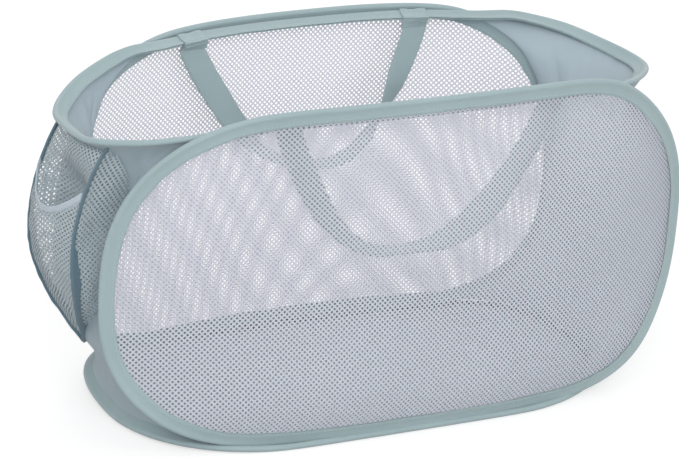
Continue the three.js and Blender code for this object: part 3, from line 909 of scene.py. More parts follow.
@dataclass
class Binding:
    """A hoop's folded tape with its spring wire, ferrule and stitching."""

    name: str
    line: SideHoop | LevelHoop
    body: str
    width: float = 14.4
    nose: float = 2.85
    wall: float = 0.62
    leg: float = 1.05
    wire_inset: float = 3.1
    wire_radius: float = 1.3
    wire_sides: int = 8
    sleeve_at: float = 0.75
    sleeve_reach: float = 12.0
    sleeve_rings: int = 15
    sleeve_bore: float = 1.5
    sleeve_radius: float = 1.95
    crimp_depth: float = 0.15
    crimp_at: float = 6.0
    crimp_reach: float = 1.8
    stitch_inset: float = 12.1
    pucker: float = 0.3
    pucker_waves: tuple[int, ...] = (131, 87, 171, 52)
    slow_waves: tuple[int, ...] = (23, 37, 11)
    seed: int = 1

    # Insets of each leg's middle points, and the degrees of the arc about the wire
    LEG_POINTS = (11.5, 7.6)
    NOSE_ARC = (-52.0, -308.0)
    NOSE_POINTS = 13

    def side(self, radius: float, leg: float) -> Array:
        """One side of the tape's section: along a leg, round the wire as an arc, and back.

        Args:
            radius: the arc's.
            leg: height of a leg.

        Returns:
            Insets and heights.
        """
        turn = np.radians(np.linspace(*self.NOSE_ARC, self.NOSE_POINTS))
        arc = np.stack([self.wire_inset + radius * np.cos(turn), radius * np.sin(turn)], 1)
        legs = np.array([[inset, leg] for inset in (self.width, *self.LEG_POINTS)])
        return np.vstack([legs * [1, -1], arc, legs[::-1]])

    def section(self) -> tuple[Array, Array]:
        """The tape's closed section as insets and heights: its outer side, and its inner one back.

        Returns:
            The insets and the heights.
        """
        outer = self.side(self.nose, self.leg)
        inner = self.side(self.nose - self.wall, self.leg - self.wall)[::-1]
        edge = np.array([[self.width + 0.3, 0.72 * self.leg]])
        section = np.vstack([outer, edge, inner, edge * [1, -1]])
        return section[:, 0], section[:, 1]

    def looseness(self, inset: Array | float) -> Array:
        """How free the tape is to ripple: the square of the way from its nose to its edge."""
        return np.clip((inset - 7.0) / 9.0, 0, 1) ** 2

    def tape(self) -> Shape:
        """The section swept round the hoop; the legs ripple more towards their free edge.

        Returns:
            The closed tape.
        """
        line = self.line.frames()
        place = np.arange(len(line.origin)) / len(line.origin)
        inset, height = self.section()
        ripple = waves(place, self.pucker_waves, self.seed)
        slow = waves(place, self.slow_waves, self.seed + 1)
        free = self.looseness(inset)
        high = height[None] + self.pucker * free[None] * ripple[:, None]
        deep = inset[None] + 0.45 * (inset[None] / self.width) * slow[:, None]
        swell = 1 + 0.035 * slow[:, None] * (1 - free[None])
        grid = (line.origin[:, None] + deep[..., None] * line.inward[:, None]
                + (high * swell)[..., None] * line.lift[:, None])
        steps = np.hypot(np.diff(inset, append=inset[:1]), np.diff(height, append=height[:1]))
        v = np.concatenate([[0], np.cumsum(steps)])
        u = np.append(place, 1.0) * line.length
        return turned_out(grid_shape(grid, u, v, True, True))

    def spring(self) -> Shape:
        """The wire as a round section swept at its inset, with a crimped sleeve over a short run.

        Returns:
            The wire and its sleeve.
        """
        line = self.line.frames()
        place = np.arange(len(line.origin)) / len(line.origin)
        wire = self.swept(line, np.full(len(place), self.wire_radius), np.append(place, 1.0) * line.length)
        run = np.linspace(-self.sleeve_reach, self.sleeve_reach, self.sleeve_rings)
        sleeve = line.at(run / line.length + self.sleeve_at)
        crimped = np.abs(np.abs(run) - self.crimp_at) < self.crimp_reach
        outside = self.sleeve_radius - self.crimp_depth * crimped
        there = np.arange(len(run))
        loop = np.concatenate([there, there[::-1]])
        radii = np.concatenate([outside, np.full(len(run), self.sleeve_bore)])
        parts = [part[loop] for part in sleeve.fields()]
        tube = self.swept(Frames(*parts, line.length), radii, np.arange(len(loop) + 1.0))
        return wire.joined(tube)

    def swept(self, line: Frames, radii: Array, u: Array) -> Shape:
        """A round section about the wire's place, swept along a line that closes.

        Args:
            line: the frames to follow.
            radii: the section's radius at each.
            u: the coordinate at each, and one more.

        Returns:
            The closed tube.
        """
        turn = np.arange(self.wire_sides) * TAU / self.wire_sides
        inset = self.wire_inset + radii[:, None] * np.cos(turn)
        height = radii[:, None] * np.sin(turn)
        grid = (line.origin[:, None] + inset[..., None] * line.inward[:, None]
                + height[..., None] * line.lift[:, None])
        return turned_out(grid_shape(grid, u, np.arange(self.wire_sides + 1.0), True, True))

    def stitches(self) -> Shape:
        """Two rows of thread, one on each leg of the tape near its free edge.

        Returns:
            Both rows.
        """
        thread = Stitching()
        line = self.line.frames()
        count = int(line.length / thread.pitch)
        place = np.arange(count) / count
        here = line.at(place)
        free = self.looseness(self.stitch_inset)
        lift = self.pucker * free * waves(place, self.pucker_waves, self.seed)
        rows = []
        for face in (1, -1):
            at = here.offset(np.full(count, self.stitch_inset), lift + face * (self.leg + 0.05))
            rows.append(thread.row(at, here.along, here.inward * face, here.lift * face))
        return rows[0].joined(rows[1])

    def build(self, finishes: dict[str, bpy.types.Material]) -> list[bpy.types.Object]:
        """Makes the tape, the spring and the stitching, in place of the hoop's plain solids.

        Args:
            finishes: the materials by name.

        Returns:
            The pieces.
        """
        tape = make_object(f"{self.name}_tape", self.tape(), finishes["tape"], TAPE_CREASE)
        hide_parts(f"{self.name}_binding")
        spring = make_object(f"{self.name}_spring", self.spring(), finishes["steel"])
        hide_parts(f"{self.name}_wire", f"{self.name}_ferrule")
        sewn = make_object(f"{self.name}_stitching", self.stitches(), finishes["thread"])
        for piece, slot in ((tape, "tape"), (spring, "steel"), (sewn, "tape")):
            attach(piece, self.body)
        return [tape, spring, sewn]


def turned_out(shape: Shape) -> Shape:
    """The same closed shape with its faces outwards: turned if its signed volume is negative.

    Args:
        shape: a closed shape.

    Returns:
        The shape, its faces reversed where they pointed in.
    """
    corners = shape.points[shape.faces[0]]
    a, b, c = corners[:, 0], corners[:, 1], corners[:, 2]
    volume = np.sum(a * np.cross(b, c))
    if shape.faces[0].shape[1] == 4:
        volume += np.sum(a * np.cross(c, corners[:, 3]))
    if volume >= 0:
        return shape
    return Shape(shape.points, [f[:, ::-1] for f in shape.faces], [w[:, ::-1] for w in shape.uv])


@dataclass
class Net:
    """Knitted net: square cells set on their corners, each with a round hole.

    A cell has four shared corners and an eight-sided hole, so it takes twelve triangles.
    """

    half_cell: float = 2.5
    hole: float = 1.15

    # Corners of a cell, and points round its hole
    CORNERS = ((1, 0), (0, 1), (-1, 0), (0, -1))
    HOLE_POINTS = 8

    def lattice(self, low: tuple[float, float], high: tuple[float, float]) -> Array:
        """Whole coordinates of the cell middles in a rectangle; the two always add up to even.

        Args:
            low: the rectangle's low corner.
            high: its high corner.

        Returns:
            The coordinates, count by 2.
        """
        m = np.arange(math.ceil(low[0] / self.half_cell), math.floor(high[0] / self.half_cell) + 1)
        n = np.arange(math.ceil(low[1] / self.half_cell), math.floor(high[1] / self.half_cell) + 1)
        mm, nn = (a.ravel() for a in np.meshgrid(m, n, indexing="ij"))
        keep = (mm + nn) % 2 == 0
        return np.stack([mm[keep], nn[keep]], 1)

    def flat(self, cells: Array) -> tuple[Array, Array]:
        """Points and triangles of the cells on the flat.

        Args:
            cells: whole coordinates of their middles.

        Returns:
            Flat points in millimetres, and triangles that turn anticlockwise.
        """
        sides, count = len(self.CORNERS), self.HOLE_POINTS
        corners = (cells[:, None] + np.array(self.CORNERS)[None]).reshape(-1, 2)
        shared, index = np.unique(corners, axis=0, return_inverse=True)
        index = index.reshape(-1, sides)
        turn = np.arange(count) * TAU / count
        ring = self.hole * np.stack([np.cos(turn), np.sin(turn)], 1)
        holes = (cells[:, None] * self.half_cell + ring[None]).reshape(-1, 2)
        base = len(shared) + np.arange(len(cells)) * count
        faces = []
        for k in range(sides):
            corner, following = index[:, k], index[:, (k + 1) % sides]
            before, here, after = (base + (2 * k + step) % count for step in (-1, 0, 1))
            faces.append(np.stack([corner, after, here], 1))
            faces.append(np.stack([corner, here, before], 1))
            faces.append(np.stack([corner, following, after], 1))
        return np.vstack([shared * self.half_cell, holes]), np.vstack(faces)


@dataclass
class SidePanel:
    """A long side: net stretched in its hoop, a little slack."""

    side: Side
    line: SideHoop
    body: str
    edge_inset: float = 9.0
    slack: float = 1.6
    area_share: float = 0.9

    def shape(self) -> Shape:
        """The net on the bowed panel, with slow swells that die away at the hoop.

        A swell is a sine along times a sine up, the first bent by the height, and half of a
        slanting one.

        Returns:
            The net with its holes.
        """
        outline = self.line.outline
        net = Net()
        reach = (outline.half_length, outline.half_width)
        cells = net.lattice((-reach[0], -reach[1]), reach)
        x, y = (cells * net.half_cell).T
        flat, faces = net.flat(cells[outline.holds(x, y, self.edge_inset)])
        x, y = flat.T
        inner = np.clip(1 - (x / reach[0]) ** 4 - (y / reach[1]) ** 4, 0, 1)
        broad = np.sin(x / 47 + 0.6 * np.sin(y / 39)) * np.sin(y / 31 + 0.8)
        slanting = 0.5 * np.sin(x / 23 - y / 29)
        points = self.line.place(x, y, self.slack * inner * (broad + slanting))
        if self.side is Side.BACK:
            faces = faces[:, ::-1]
        return Shape(points, [faces], [flat[faces]])

    def build(self, finish: bpy.types.Material) -> bpy.types.Object:
        """Makes the panel in place of its coarse solid net.

        Args:
            finish: its material.

        Returns:
            The piece.
        """
        name = self.side.name.lower()
        piece = make_object(f"{name}_net", self.shape(), finish)
        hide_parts(f"{name}_mesh")
        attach(piece, self.body)
        size = self.line.outline.flat_size()
        return piece


@dataclass
class BaseCloth:
    """The base: cloth held at its edge by the hoop's tape and lying on the floor inside it."""

    line: LevelHoop
    edge_inset: float = 8.0
    rings: int = 30
    smallest: float = 0.004
    half: float = 0.35
    lying: float = 0.75
    crinkle: float = 0.22
    area_share: float = 0.88

    def surface(self) -> Array:
        """Rings of points that shrink from the hoop, with a height that eases down to the floor.

        A crinkle stands up from it: a sine along, bent by a sine of the depth, times the like.

        Returns:
            The points as rows by columns by 3.
        """
        line = self.line.frames()
        edge = line.offset(np.full(len(line.origin), self.edge_inset), 0.0)
        share = np.linspace(1, self.smallest, self.rings) ** 0.8
        grid = edge[None] * [1, 1, 0] * share[:, None, None]
        inner = np.clip((1 - share) * 6, 0, 1)
        lie = edge[None, :, 2] + (self.lying - edge[None, :, 2]) * smooth(inner)[:, None]
        x, y = grid[..., 0], grid[..., 1]
        crinkle = self.crinkle * np.sin(x / 19 + 1.3 * np.sin(y / 27)) * np.sin(y / 23 + np.sin(x / 41))
        grid[..., 2] = lie + np.abs(crinkle) * inner[:, None]
        return grid

    def shape(self) -> Shape:
        """The rings as triangles that face up, closed by a fan in the middle, with a thickness.

        Returns:
            The closed sheet.
        """
        grid = self.surface()
        count = grid.shape[1]
        quads, _ = grid_faces(self.rings, count, False, True)
        middle = self.rings * count
        ring = middle - count + np.arange(count)
        fan = np.stack([ring, np.roll(ring, -1), np.full(count, middle)], 1)
        points = np.vstack([grid.reshape(-1, 3), [[0, 0, self.lying]]])
        tris = np.vstack([split_quads(quads), fan])
        flat = points[:, :2]
        first, second = (flat[tris[:, k]] - flat[tris[:, 0]] for k in (1, 2))
        area = first[:, 0] * second[:, 1] - first[:, 1] * second[:, 0]
        tris = np.where((area > 0)[:, None], tris, tris[:, ::-1])
        up = np.tile(UPWARD, (len(points), 1))
        sheet = thick(Shape(points, [tris], [flat[tris]]), up, self.half)
        sheet.normals = None
        return sheet

    def build(self, finish: bpy.types.Material) -> bpy.types.Object:
        """Makes the base in place of its plain solid.

        Args:
            finish: its material.

        Returns:
            The piece.
        """
        piece = make_object("base_cloth", self.shape(), finish, 50)
        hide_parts("bottom_panel")
        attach(piece, "base")
        size = self.line.outline.flat_size()
        return piece


class Quarter(Enum):
    """The four parts of an end's cloth, each sewn to one hoop; the value names its body."""

    LOWER = "base"
    UPPER = "mouth"
    FRONT = "front_panel"
    BACK = "back_panel"


@dataclass(frozen=True)
class Crease:
    """A long fold in an end's cloth.

    It crosses the foot of the cloth at a share of the way from front to back, plus its lean, and
    has a depth and a width.
    """

    at: float
    lean: float
    depth: float
    width: float

    def height(self, u: Array, v: Array) -> Array:
        """A bell curve across the fold times one up the cloth, with its crest near the mouth.

        Args:
            u: shares of the depth.
            v: shares of the height.

        Returns:
            The fold's height.
        """
        across = u - self.at - self.lean * (1 - v)
        return self.depth * np.exp(-((across / self.width) ** 2)) * np.exp(-(((v - 0.72) / 0.27) ** 2))


CREASES = (
    Crease(0.16, 0.30, 3.2, 0.020), Crease(0.25, 0.16, -2.4, 0.026), Crease(0.84, -0.3, 3.0, 0.022),
    Crease(0.74, -0.12, -2.2, 0.03), Crease(0.5, 0.05, 1.6, 0.04),
)


@dataclass
class EndCloth:
    """One short end: cloth between four hoops, drawn into a hollow, in four parts that meet in it."""

    end: End
    steps: int = 96
    seam_inset: float = 4.4
    seam_off: float = 3.1
    base_inset: float = 12.5
    base_off: float = 1.5
    corner_x: float = 168.0
    half: float = 0.35
    rounds: int = 5000
    hollow: float = 6.0
    belly: float = 32.0
    belly_at: tuple[float, float] = (0.31, 0.16)
    hollow_right: float = 36.0
    pull: float = 1.5
    level_waves: tuple[int, ...] = (13, 21, 34)
    upright_waves: tuple[int, ...] = (11, 19, 29)
    depth_scale: float = 1.35
    least_width: float = 0.14

    def arc(self, line: Frames, inset: float, off: float, axis: int) -> Array:
        """The part of a hoop that this end's cloth is sewn to, evenly spaced from low to high.

        Args:
            line: the hoop.
            inset: distance in from its edge.
            off: distance off its face.
            axis: which coordinate grows along the arc.

        Returns:
            The points.
        """
        points = line.offset(np.full(len(line.origin), inset), off)
        held = points[self.end.value * points[:, 0] > self.corner_x]
        held = held[np.argsort(self.walk(held, axis))]
        return even_points(held, self.steps + 1)[0]

    def walk(self, points: Array, axis: int) -> Array:
        """An order along an arc: each point's angle about the corner's X, seen along the other axis."""
        out = self.end.value * points[:, 0] - self.corner_x + 1
        return np.arctan2(points[:, axis] - points[:, axis].mean(), out)

    def spanned(self) -> Array:
        """The cloth's middle surface: each point is the mean of its neighbours, held at the arcs.

        The arcs meet halfway at the four corners, and each eases to there from its own line.

        Returns:
            The points as rows by columns by 3.
        """
        n = self.steps
        low = self.arc(BASE_LINE.frames(), self.base_inset, self.base_off, 1)
        high = self.arc(TOP_LINE.frames(), self.seam_inset, -self.seam_off, 1)
        front = self.arc(FRONT_LINE.frames(), self.seam_inset, -self.seam_off, 2)
        back = self.arc(BACK_LINE.frames(), self.seam_inset, -self.seam_off, 2)
        corners = {
            (0, 0): (low, front), (0, n): (low, back), (n, 0): (high, front), (n, n): (high, back),
        }
        fade = np.linspace(1, 0, n + 1)[:, None] ** 4
        for (i, j), (level, upright) in corners.items():
            shared = (level[j] + upright[i]) / 2
            level += (shared - level[j]) * (fade if j == 0 else fade[::-1])
            upright += (shared - upright[i]) * (fade if i == 0 else fade[::-1])
        share = np.linspace(0, 1, n + 1)[:, None, None]
        grid = low[None] * (1 - share) + high[None] * share
        grid[:, 0], grid[:, n] = front, back
        grid[0], grid[n] = low, high
        for _ in range(self.rounds):
            inner = grid[:-2, 1:-1] + grid[2:, 1:-1] + grid[1:-1, :-2] + grid[1:-1, 2:]
            grid[1:-1, 1:-1] = inner / 4
        return grid

    def drawn(self, u: Array, v: Array) -> Array:
        """How far the cloth is drawn in at shares of its depth and height.

        The right end has a hollow that the cloth's upper front corner stays out of. The left end
        has a slight one near its top, and the pocket's foot pulls it out low down, as a bell curve
        of the height times a power of the distance from both sides.

        Args:
            u: shares of the depth.
            v: shares of the height.

        Returns:
            The distances in.
        """
        inside = 16 * u * (1 - u) * v * (1 - v)
        if self.end is End.RIGHT:
            held = 1 - smooth((v - 0.68) / 0.22) * (1 - u)
            return self.hollow_right * smooth((v - 0.2) / 0.5) * inside * held
        height, reach = self.belly_at
        pulled = np.exp(-(((v - height) / reach) ** 2)) * (4 * u * (1 - u)) ** 1.5
        return self.hollow * smooth((v - 0.5) / 0.4) * inside - self.belly * pulled

    def surface(self) -> Array:
        """The cloth's points with its hollow, the pulls of the seams and the long creases.

        Pulls are sines along each seam that fade as an exponential of the distance from it.

        Returns:
            The points as rows by columns by 3.
        """
        grid = self.spanned()
        normals = surface_normals(grid)
        normals *= np.sign(np.sum(normals[..., 0]) * self.end.value)
        share = np.linspace(0, 1, self.steps + 1)
        v, u = np.meshgrid(share, share, indexing="ij")
        seed = 3 + self.end.value
        level = waves(u, self.level_waves, seed) * (np.exp(-v * 16) + 1.4 * np.exp(-(1 - v) * 13))
        upright = waves(v, self.upright_waves, seed + 5) * (np.exp(-u * 14) + np.exp(-(1 - u) * 14))
        folds = sum(crease.height(u, v) for crease in CREASES)
        away = np.clip(48 * u * (1 - u) * v * (1 - v), 0, 1)
        bump = (self.pull * (level + upright) + folds) * away - self.drawn(u, v)
        return grid + bump[..., None] * normals

    def parts(self, grid: Array) -> dict[Quarter, Shape]:
        """The cloth cut along its two diagonals, as two-faced sheets with the whole cloth's normals.

        Args:
            grid: the cloth's points.

        Returns:
            Each part by the hoop that holds it.
        """
        n = self.steps
        normals = surface_normals(grid)
        i, j = (a.ravel() for a in np.meshgrid(np.arange(n), np.arange(n), indexing="ij"))
        a = i * (n + 1) + j
        b, c, d = a + n + 1, a + n + 2, a + 1
        leaning = (i + j == n - 1)[:, None]
        first = np.where(leaning, np.stack([a, b, d], 1), np.stack([a, b, c], 1))
        second = np.where(leaning, np.stack([b, c, d], 1), np.stack([a, c, d], 1))
        faces = np.vstack([first, second])
        points, flat_normals = grid.reshape(-1, 3), normals.reshape(-1, 3)
        if np.sum(flat_normals[:, 0]) * self.end.value < 0:
            faces, flat_normals = faces[:, ::-1], -flat_normals
        rows, columns = np.divmod(np.arange((n + 1) ** 2), n + 1)
        v = rows[faces].mean(1) / n
        u = columns[faces].mean(1) / n
        chosen = {
            Quarter.LOWER: (v < u) & (v < 1 - u), Quarter.UPPER: (v > u) & (v > 1 - u),
            Quarter.FRONT: (u < v) & (u < 1 - v), Quarter.BACK: (u > v) & (u > 1 - v),
        }
        spread = np.stack([points[:, 1] * self.depth_scale, points[:, 2]], 1)
        made = {}
        for quarter, held in chosen.items():
            used, index = np.unique(faces[held], return_inverse=True)
            part = index.reshape(-1, 3)
            shape = Shape(points[used], [part], [spread[used][part]])
            made[quarter] = thick(shape, flat_normals[used], self.half)
        return made

    def flat_size(self, shape: Shape) -> tuple[tuple[float, float], float]:
        """A part's flat width and height, and its area.

        The height is at least what the area needs at that width.

        Args:
            shape: the part.

        Returns:
            The size in metres, and the area in square metres.
        """
        wide, tall = (float(np.ptp(shape.points[:, axis])) * MM for axis in (1, 2))
        area = sheet_area(shape) / 2
        wide = max(wide, self.least_width)
        size = (wide, max(tall, area / wide * 1.05))
        return size, cut_area(area, size, 0.98)

    def build(self, grid: Array, finish: bpy.types.Material) -> list[bpy.types.Object]:
        """Makes the four parts in place of the plain solid, each attached to the body of its hoop.

        Args:
            grid: the cloth's points.
            finish: its material.

        Returns:
            The four pieces.
        """
        name = self.end.name.lower()
        pieces = []
        for quarter, shape in self.parts(grid).items():
            piece = make_object(f"{name}_end_{quarter.name.lower()}_cloth", shape, finish)
            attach(piece, quarter.value)
            pieces.append(piece)
        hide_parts(f"{name}_end_panel")
        return pieces


def cut_area(area: float, size: tuple[float, float], most: float) -> float:
    """A sheet's area, held between a third of its flat oblong's and a share of it."""
    whole = size[0] * size[1]
    return min(max(area, LEAST_CUT * whole), most * whole)


def sheet_area(shape: Shape) -> float:
    """The area of all faces of a shape, in square metres.

    Args:
        shape: any shape.

    Returns:
        The sum of its triangles' areas.
    """
    total = 0.0
    for faces in shape.faces:
        corners = shape.points[faces]
        fan = range(1, faces.shape[1] - 1)
        sides = [np.cross(corners[:, k] - corners[:, 0], corners[:, k + 1] - corners[:, 0]) for k in fan]
        total += sum(0.5 * np.linalg.norm(side, axis=1).sum() for side in sides)
    return float(total) * MM * MM


@dataclass
class Pocket:
    """The net pocket on the left end, between two corded edges; cloth is the end's grid of points."""

    cloth: Array
    half_width: float = 48.0
    top: float = 277.0
    foot: float = 74.0
    top_x: float = -284.0
    foot_x: float = -276.0
    bulge: float = 34.0
    crown: float = 7.0
    taper_start: float = 165.0
    taper: float = 0.97
    home_from: float = 0.84
    mouth_share: float = 0.21
    mouth_sag: float = 0.13
    slack: float = 1.12
    upper_reach: float = 0.08
    upper_back: float = 0.8
    gusset_reach: float = 85.0
    gusset_flat: float = 0.06
    piping: float = 1.5
    lip: float = 1.7
    cord_steps: int = 90
    cord_sides: int = 12
    hem_height: float = 8.0
    hem_depth: float = 1.1
    hem_steps: int = 60
    hem_sides: int = 16
    readings: int = 80

    def width(self, share: Array) -> Array:
        """Half the width: full above the taper, then less by the square of the way to the foot.

        Args:
            share: shares of the way down.

        Returns:
            The half widths.
        """
        z = self.top + (self.foot - self.top) * share
        below = np.clip((self.taper_start - z) / (self.taper_start - self.foot), 0, 1)
        return self.half_width * (1 - self.taper * below**2)

    def profile(self, share: Array) -> Array:
        """X and Z down the corded edge: a slant from top to foot, less a power of half a sine.

        Over the last sixth it runs in to the end cloth.

        Args:
            share: shares of the way down.

        Returns:
            X and Z of each.
        """
        slant = self.top_x + (self.foot_x - self.top_x) * share
        swell = self.bulge * np.sin(math.pi * np.clip(share, 0, 1)) ** 0.8
        z = self.top + (self.foot - self.top) * share
        x = slant - swell
        home = smooth((share - self.home_from) / (1 - self.home_from))
        return np.stack([x + (self.middle_x(z) - 1.0 - x) * home, z], -1)

    def band(self, y: Array) -> Array:
        """X of the mouth hoop's end at a depth, a touch inside its edge.

        Args:
            y: the depths.

        Returns:
            X at each.
        """
        flat = TOP_LINE.outline.points(400)
        left = flat[flat[:, 0] < -150]
        left = left[np.argsort(left[:, 1])]
        return np.interp(y, left[:, 1], left[:, 0]) + 2.0

    def swell(self, share: Array) -> Array:
        """How far the middle stands out past the corded edges at a share of the way down.

        At the top it follows the mouth's band, and a crown is added by the square of half a sine.
        """
        at_band = self.band(np.array([self.half_width]))[0] - self.band(np.array([0.0]))[0]
        return (at_band * (1 - share) + self.crown * np.sin(math.pi * share) ** 2) * (1 - share**3)

    def face(self, share: Array, y: Array) -> Array:
        """Points on the pocket's front: its edge's profile less the swell by a parabola across.

        Args:
            share: shares of the way down.
            y: the depths.

        Returns:
            The points.
        """
        line = self.profile(share)
        across = np.clip(y / self.width(share), -1, 1)
        x = line[..., 0] - self.swell(share) * (1 - across**2)
        return np.stack([x, y, line[..., 1]], -1)

    def net(self, start: float, stop: float, ripple: float, sag: float, back: float) -> Shape:
        """A piece of net between two shares of the way down, its top edge sagging.

        Args:
            start: share of the way down at its top.
            stop: share of the way down at its foot.
            ripple: height of its small waves.
            sag: how much lower the middle of the top edge hangs, as a share.
            back: how far its middle lies back from the front towards the end cloth, as a share.

        Returns:
            The net with its holes.
        """
        net = Net()
        depth = self.slack * (self.top - self.foot)
        cells = net.lattice((-self.half_width, -stop * depth), (self.half_width, -start * depth))
        y, z = (cells * net.half_cell).T
        share = -z / depth
        inside = np.abs(y) < self.width(share) - 0.5
        below = share > start + sag * (1 - (y / self.half_width) ** 2) + 0.008
        flat, faces = net.flat(cells[inside & below])
        share = np.clip(-flat[:, 1] / depth, 0, 1)
        y = np.clip(flat[:, 0], -self.width(share), self.width(share))
        wave = ripple * np.sin(y / 8 + 3 * np.sin(share * 9)) * np.sin(share * 21 + 1)
        points = self.face(share, y)
        points[:, 0] += wave
        across = np.clip(y / self.width(share), -1, 1)
        lain = back * smooth(share / 0.3) * (1 - across**2)
        points[:, 0] += lain * (self.middle_x(points[:, 2]) - 3.0 - points[:, 0]) + 2.0 * (back > 0)
        faces = faces[:, ::-1]
        return Shape(points, [faces], [flat[faces]])

    def cloth_x(self, y: Array, z: Array) -> Array:
        """X of the end cloth at depths and heights: a mean of four near points, nearer ones heavier.

        Args:
            y: the depths.
            z: the heights.

        Returns:
            X at each place.
        """
        flat = self.cloth.reshape(-1, 3)
        gap = np.hypot(flat[None, :, 1] - y[:, None], flat[None, :, 2] - z[:, None])
        near = np.argpartition(gap, 4, axis=1)[:, :4]
        weight = 1 / (np.take_along_axis(gap, near, 1) + 0.2) ** 2
        return np.sum(flat[near, 0] * weight, 1) / np.sum(weight, 1)

    def middle_x(self, z: Array) -> Array:
        """X of the end cloth at heights in the pocket's middle plane, between readings of it."""
        heights = np.linspace(self.foot - 9, self.top + 3, self.readings)
        return np.interp(z, heights, self.cloth_x(0 * heights, heights))

    def gusset(self, side: Side) -> Shape:
        """A side of the pocket: net from its corded edge back to the end cloth, with small waves.

        Args:
            side: which side of the pocket.

        Returns:
            The net with its holes.
        """
        net = Net()
        tall = self.top - self.foot
        cells = net.lattice((0.0, -tall + 3), (self.gusset_reach, -3.0))
        mid = cells * net.half_cell
        down = np.linspace(0, 1, self.readings)
        line = self.profile(down)
        depth = side.value * (self.width(down) - 0.6)
        reach = np.interp(-mid[:, 1] / tall, down, self.cloth_x(depth, line[:, 1]) - line[:, 0])
        flat, faces = net.flat(cells[(mid[:, 0] < reach - 3.0) & (mid[:, 0] > 0)])
        share = np.clip(-flat[:, 1] / tall, 0, 1)
        edge = self.profile(share)
        wave = 1.5 * np.sin(flat[:, 0] / 7 + 4 * share) * np.sin(share * 11)
        y = side.value * (self.width(share) - 0.6) + wave
        points = np.stack([edge[:, 0] + flat[:, 0], y, edge[:, 1]], 1)
        faces = faces if side is Side.FRONT else faces[:, ::-1]
        return Shape(points, [faces], [flat[faces]])

    def cord(self, side: Side) -> Shape:
        """A corded edge: a round section, drawn out on one side as the lip of the tape round it.

        Args:
            side: which side of the pocket.

        Returns:
            The closed cord.
        """
        share = np.linspace(0, 1, self.cord_steps)
        line = self.profile(share)
        centre = np.stack([line[:, 0], side.value * self.width(share), line[:, 1]], 1)
        along = unit(np.gradient(centre, axis=0))
        off = unit(np.cross(along, BACKWARD))
        off *= np.sign(off[:, :1] + TINY) * -1
        turn = np.arange(self.cord_sides) * TAU / self.cord_sides
        lip = 1 + self.lip * np.exp(-(((turn - math.pi) / 0.42) ** 2))
        ripple = 1 + 0.06 * np.sin(share * 70) + 0.05 * np.sin(share * 113)
        wide = 0.7 + 1.1 * smooth((share - 0.3) / 0.35)
        radius = self.piping * lip[None] * (ripple * wide)[:, None]
        grid = (centre[:, None] + (radius * np.cos(turn))[..., None] * off[:, None]
                + (self.piping * np.sin(turn))[None, :, None] * BACKWARD)
        length = np.linalg.norm(np.diff(centre, axis=0), axis=1).sum()
        shape = grid_shape(grid, share * length, np.arange(self.cord_sides + 1) * 1.1, False, True)
        return capped(shape, self.cord_steps, self.cord_sides)

    def hem(self) -> Shape:
        """The folded hem along the pocket's mouth: a rounded band that bows with the front.

        Returns:
            The closed band.
        """
        across = np.linspace(-0.97, 0.97, self.hem_steps)
        turn = np.arange(self.hem_sides) * TAU / self.hem_sides
        share = self.mouth_share + self.mouth_sag * (1 - across**2)
        centre = self.face(share, across * self.half_width)
        up = unit(np.array([-0.13, 0.0, 1.0]))
        outward = np.array([-1.0, 0.0, 0.0])
        tall = self.hem_height / 2 * soft_power(np.cos(turn), 0.5)
        deep = self.hem_depth * soft_power(np.sin(turn), 0.7)
        ripple = 0.5 * (0.5 * np.sin(across * 17) + 0.3 * np.sin(across * 31))
        out = (deep[None] + ripple[:, None])[..., None]
        grid = centre[:, None] + tall[None, :, None] * up + out * outward
        v = np.arange(self.hem_sides + 1) * 1.6
        shape = grid_shape(grid, across * self.half_width, v, False, True)
        return capped(shape, self.hem_steps, self.hem_sides)

    def build(self, finishes: dict[str, bpy.types.Material]) -> list[bpy.types.Object]:
        """Makes the pocket's pieces in place of its plain solids.

        Args:
            finishes: the materials by name.

        Returns:
            The pieces.
        """
        tall = (self.top - self.foot) * MM
        wide = 2 * self.half_width * MM
        upper_foot = self.mouth_share + self.mouth_sag + self.upper_reach
        upper = self.net(0.02, upper_foot, ripple=0.5, sag=0.0, back=self.upper_back)
        face = self.net(self.mouth_share, 0.985, ripple=1.0, sag=self.mouth_sag, back=0.0)
        nets = [
            ("pocket_upper_net", upper, "pocket_upper_mesh", (wide, 0.5 * tall)),
            ("pocket_face_net", face, "pocket_face_mesh", (wide, 0.8 * tall)),
        ]
        cords = []
        for side in Side:
            word = side.name.lower()
            size = (self.gusset_flat, tall)
            nets.append((f"pocket_{word}_gusset_net", self.gusset(side), f"pocket_{word}_gusset", size))
            cords.append((f"pocket_{word}_cord", self.cord(side), f"pocket_{word}_piping"))
        pieces = []
        for name, shape, node, size in nets:
            # The pocket's nets take a finish whose colour holds painted shade for the pocket's dark
            # inside.
            piece = self.placed(name, shape, node, "mesh", finishes["pocket_net"])
            pieces.append(piece)
        for name, shape, node in cords:
            pieces.append(self.placed(name, shape, node, "piping", finishes["piping"]))
        hem = self.placed("pocket_hem", self.hem(), "pocket_mouth_hem", "mesh", finishes["hem"])
        return [*pieces, hem]

    def placed(
        self, name: str, shape: Shape, node: str, slot: str, finish: bpy.types.Material
    ) -> bpy.types.Object:
        """Makes one piece of the pocket in place of a node.

        Args:
            name: the piece's name.
            shape: its mesh.
            node: the solid that it stands for.
            slot: not used.
            finish: its material.

        Returns:
            The piece.
        """
        piece = make_object(name, shape, finish)
        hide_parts(node)
        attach(piece, "base")
        return piece


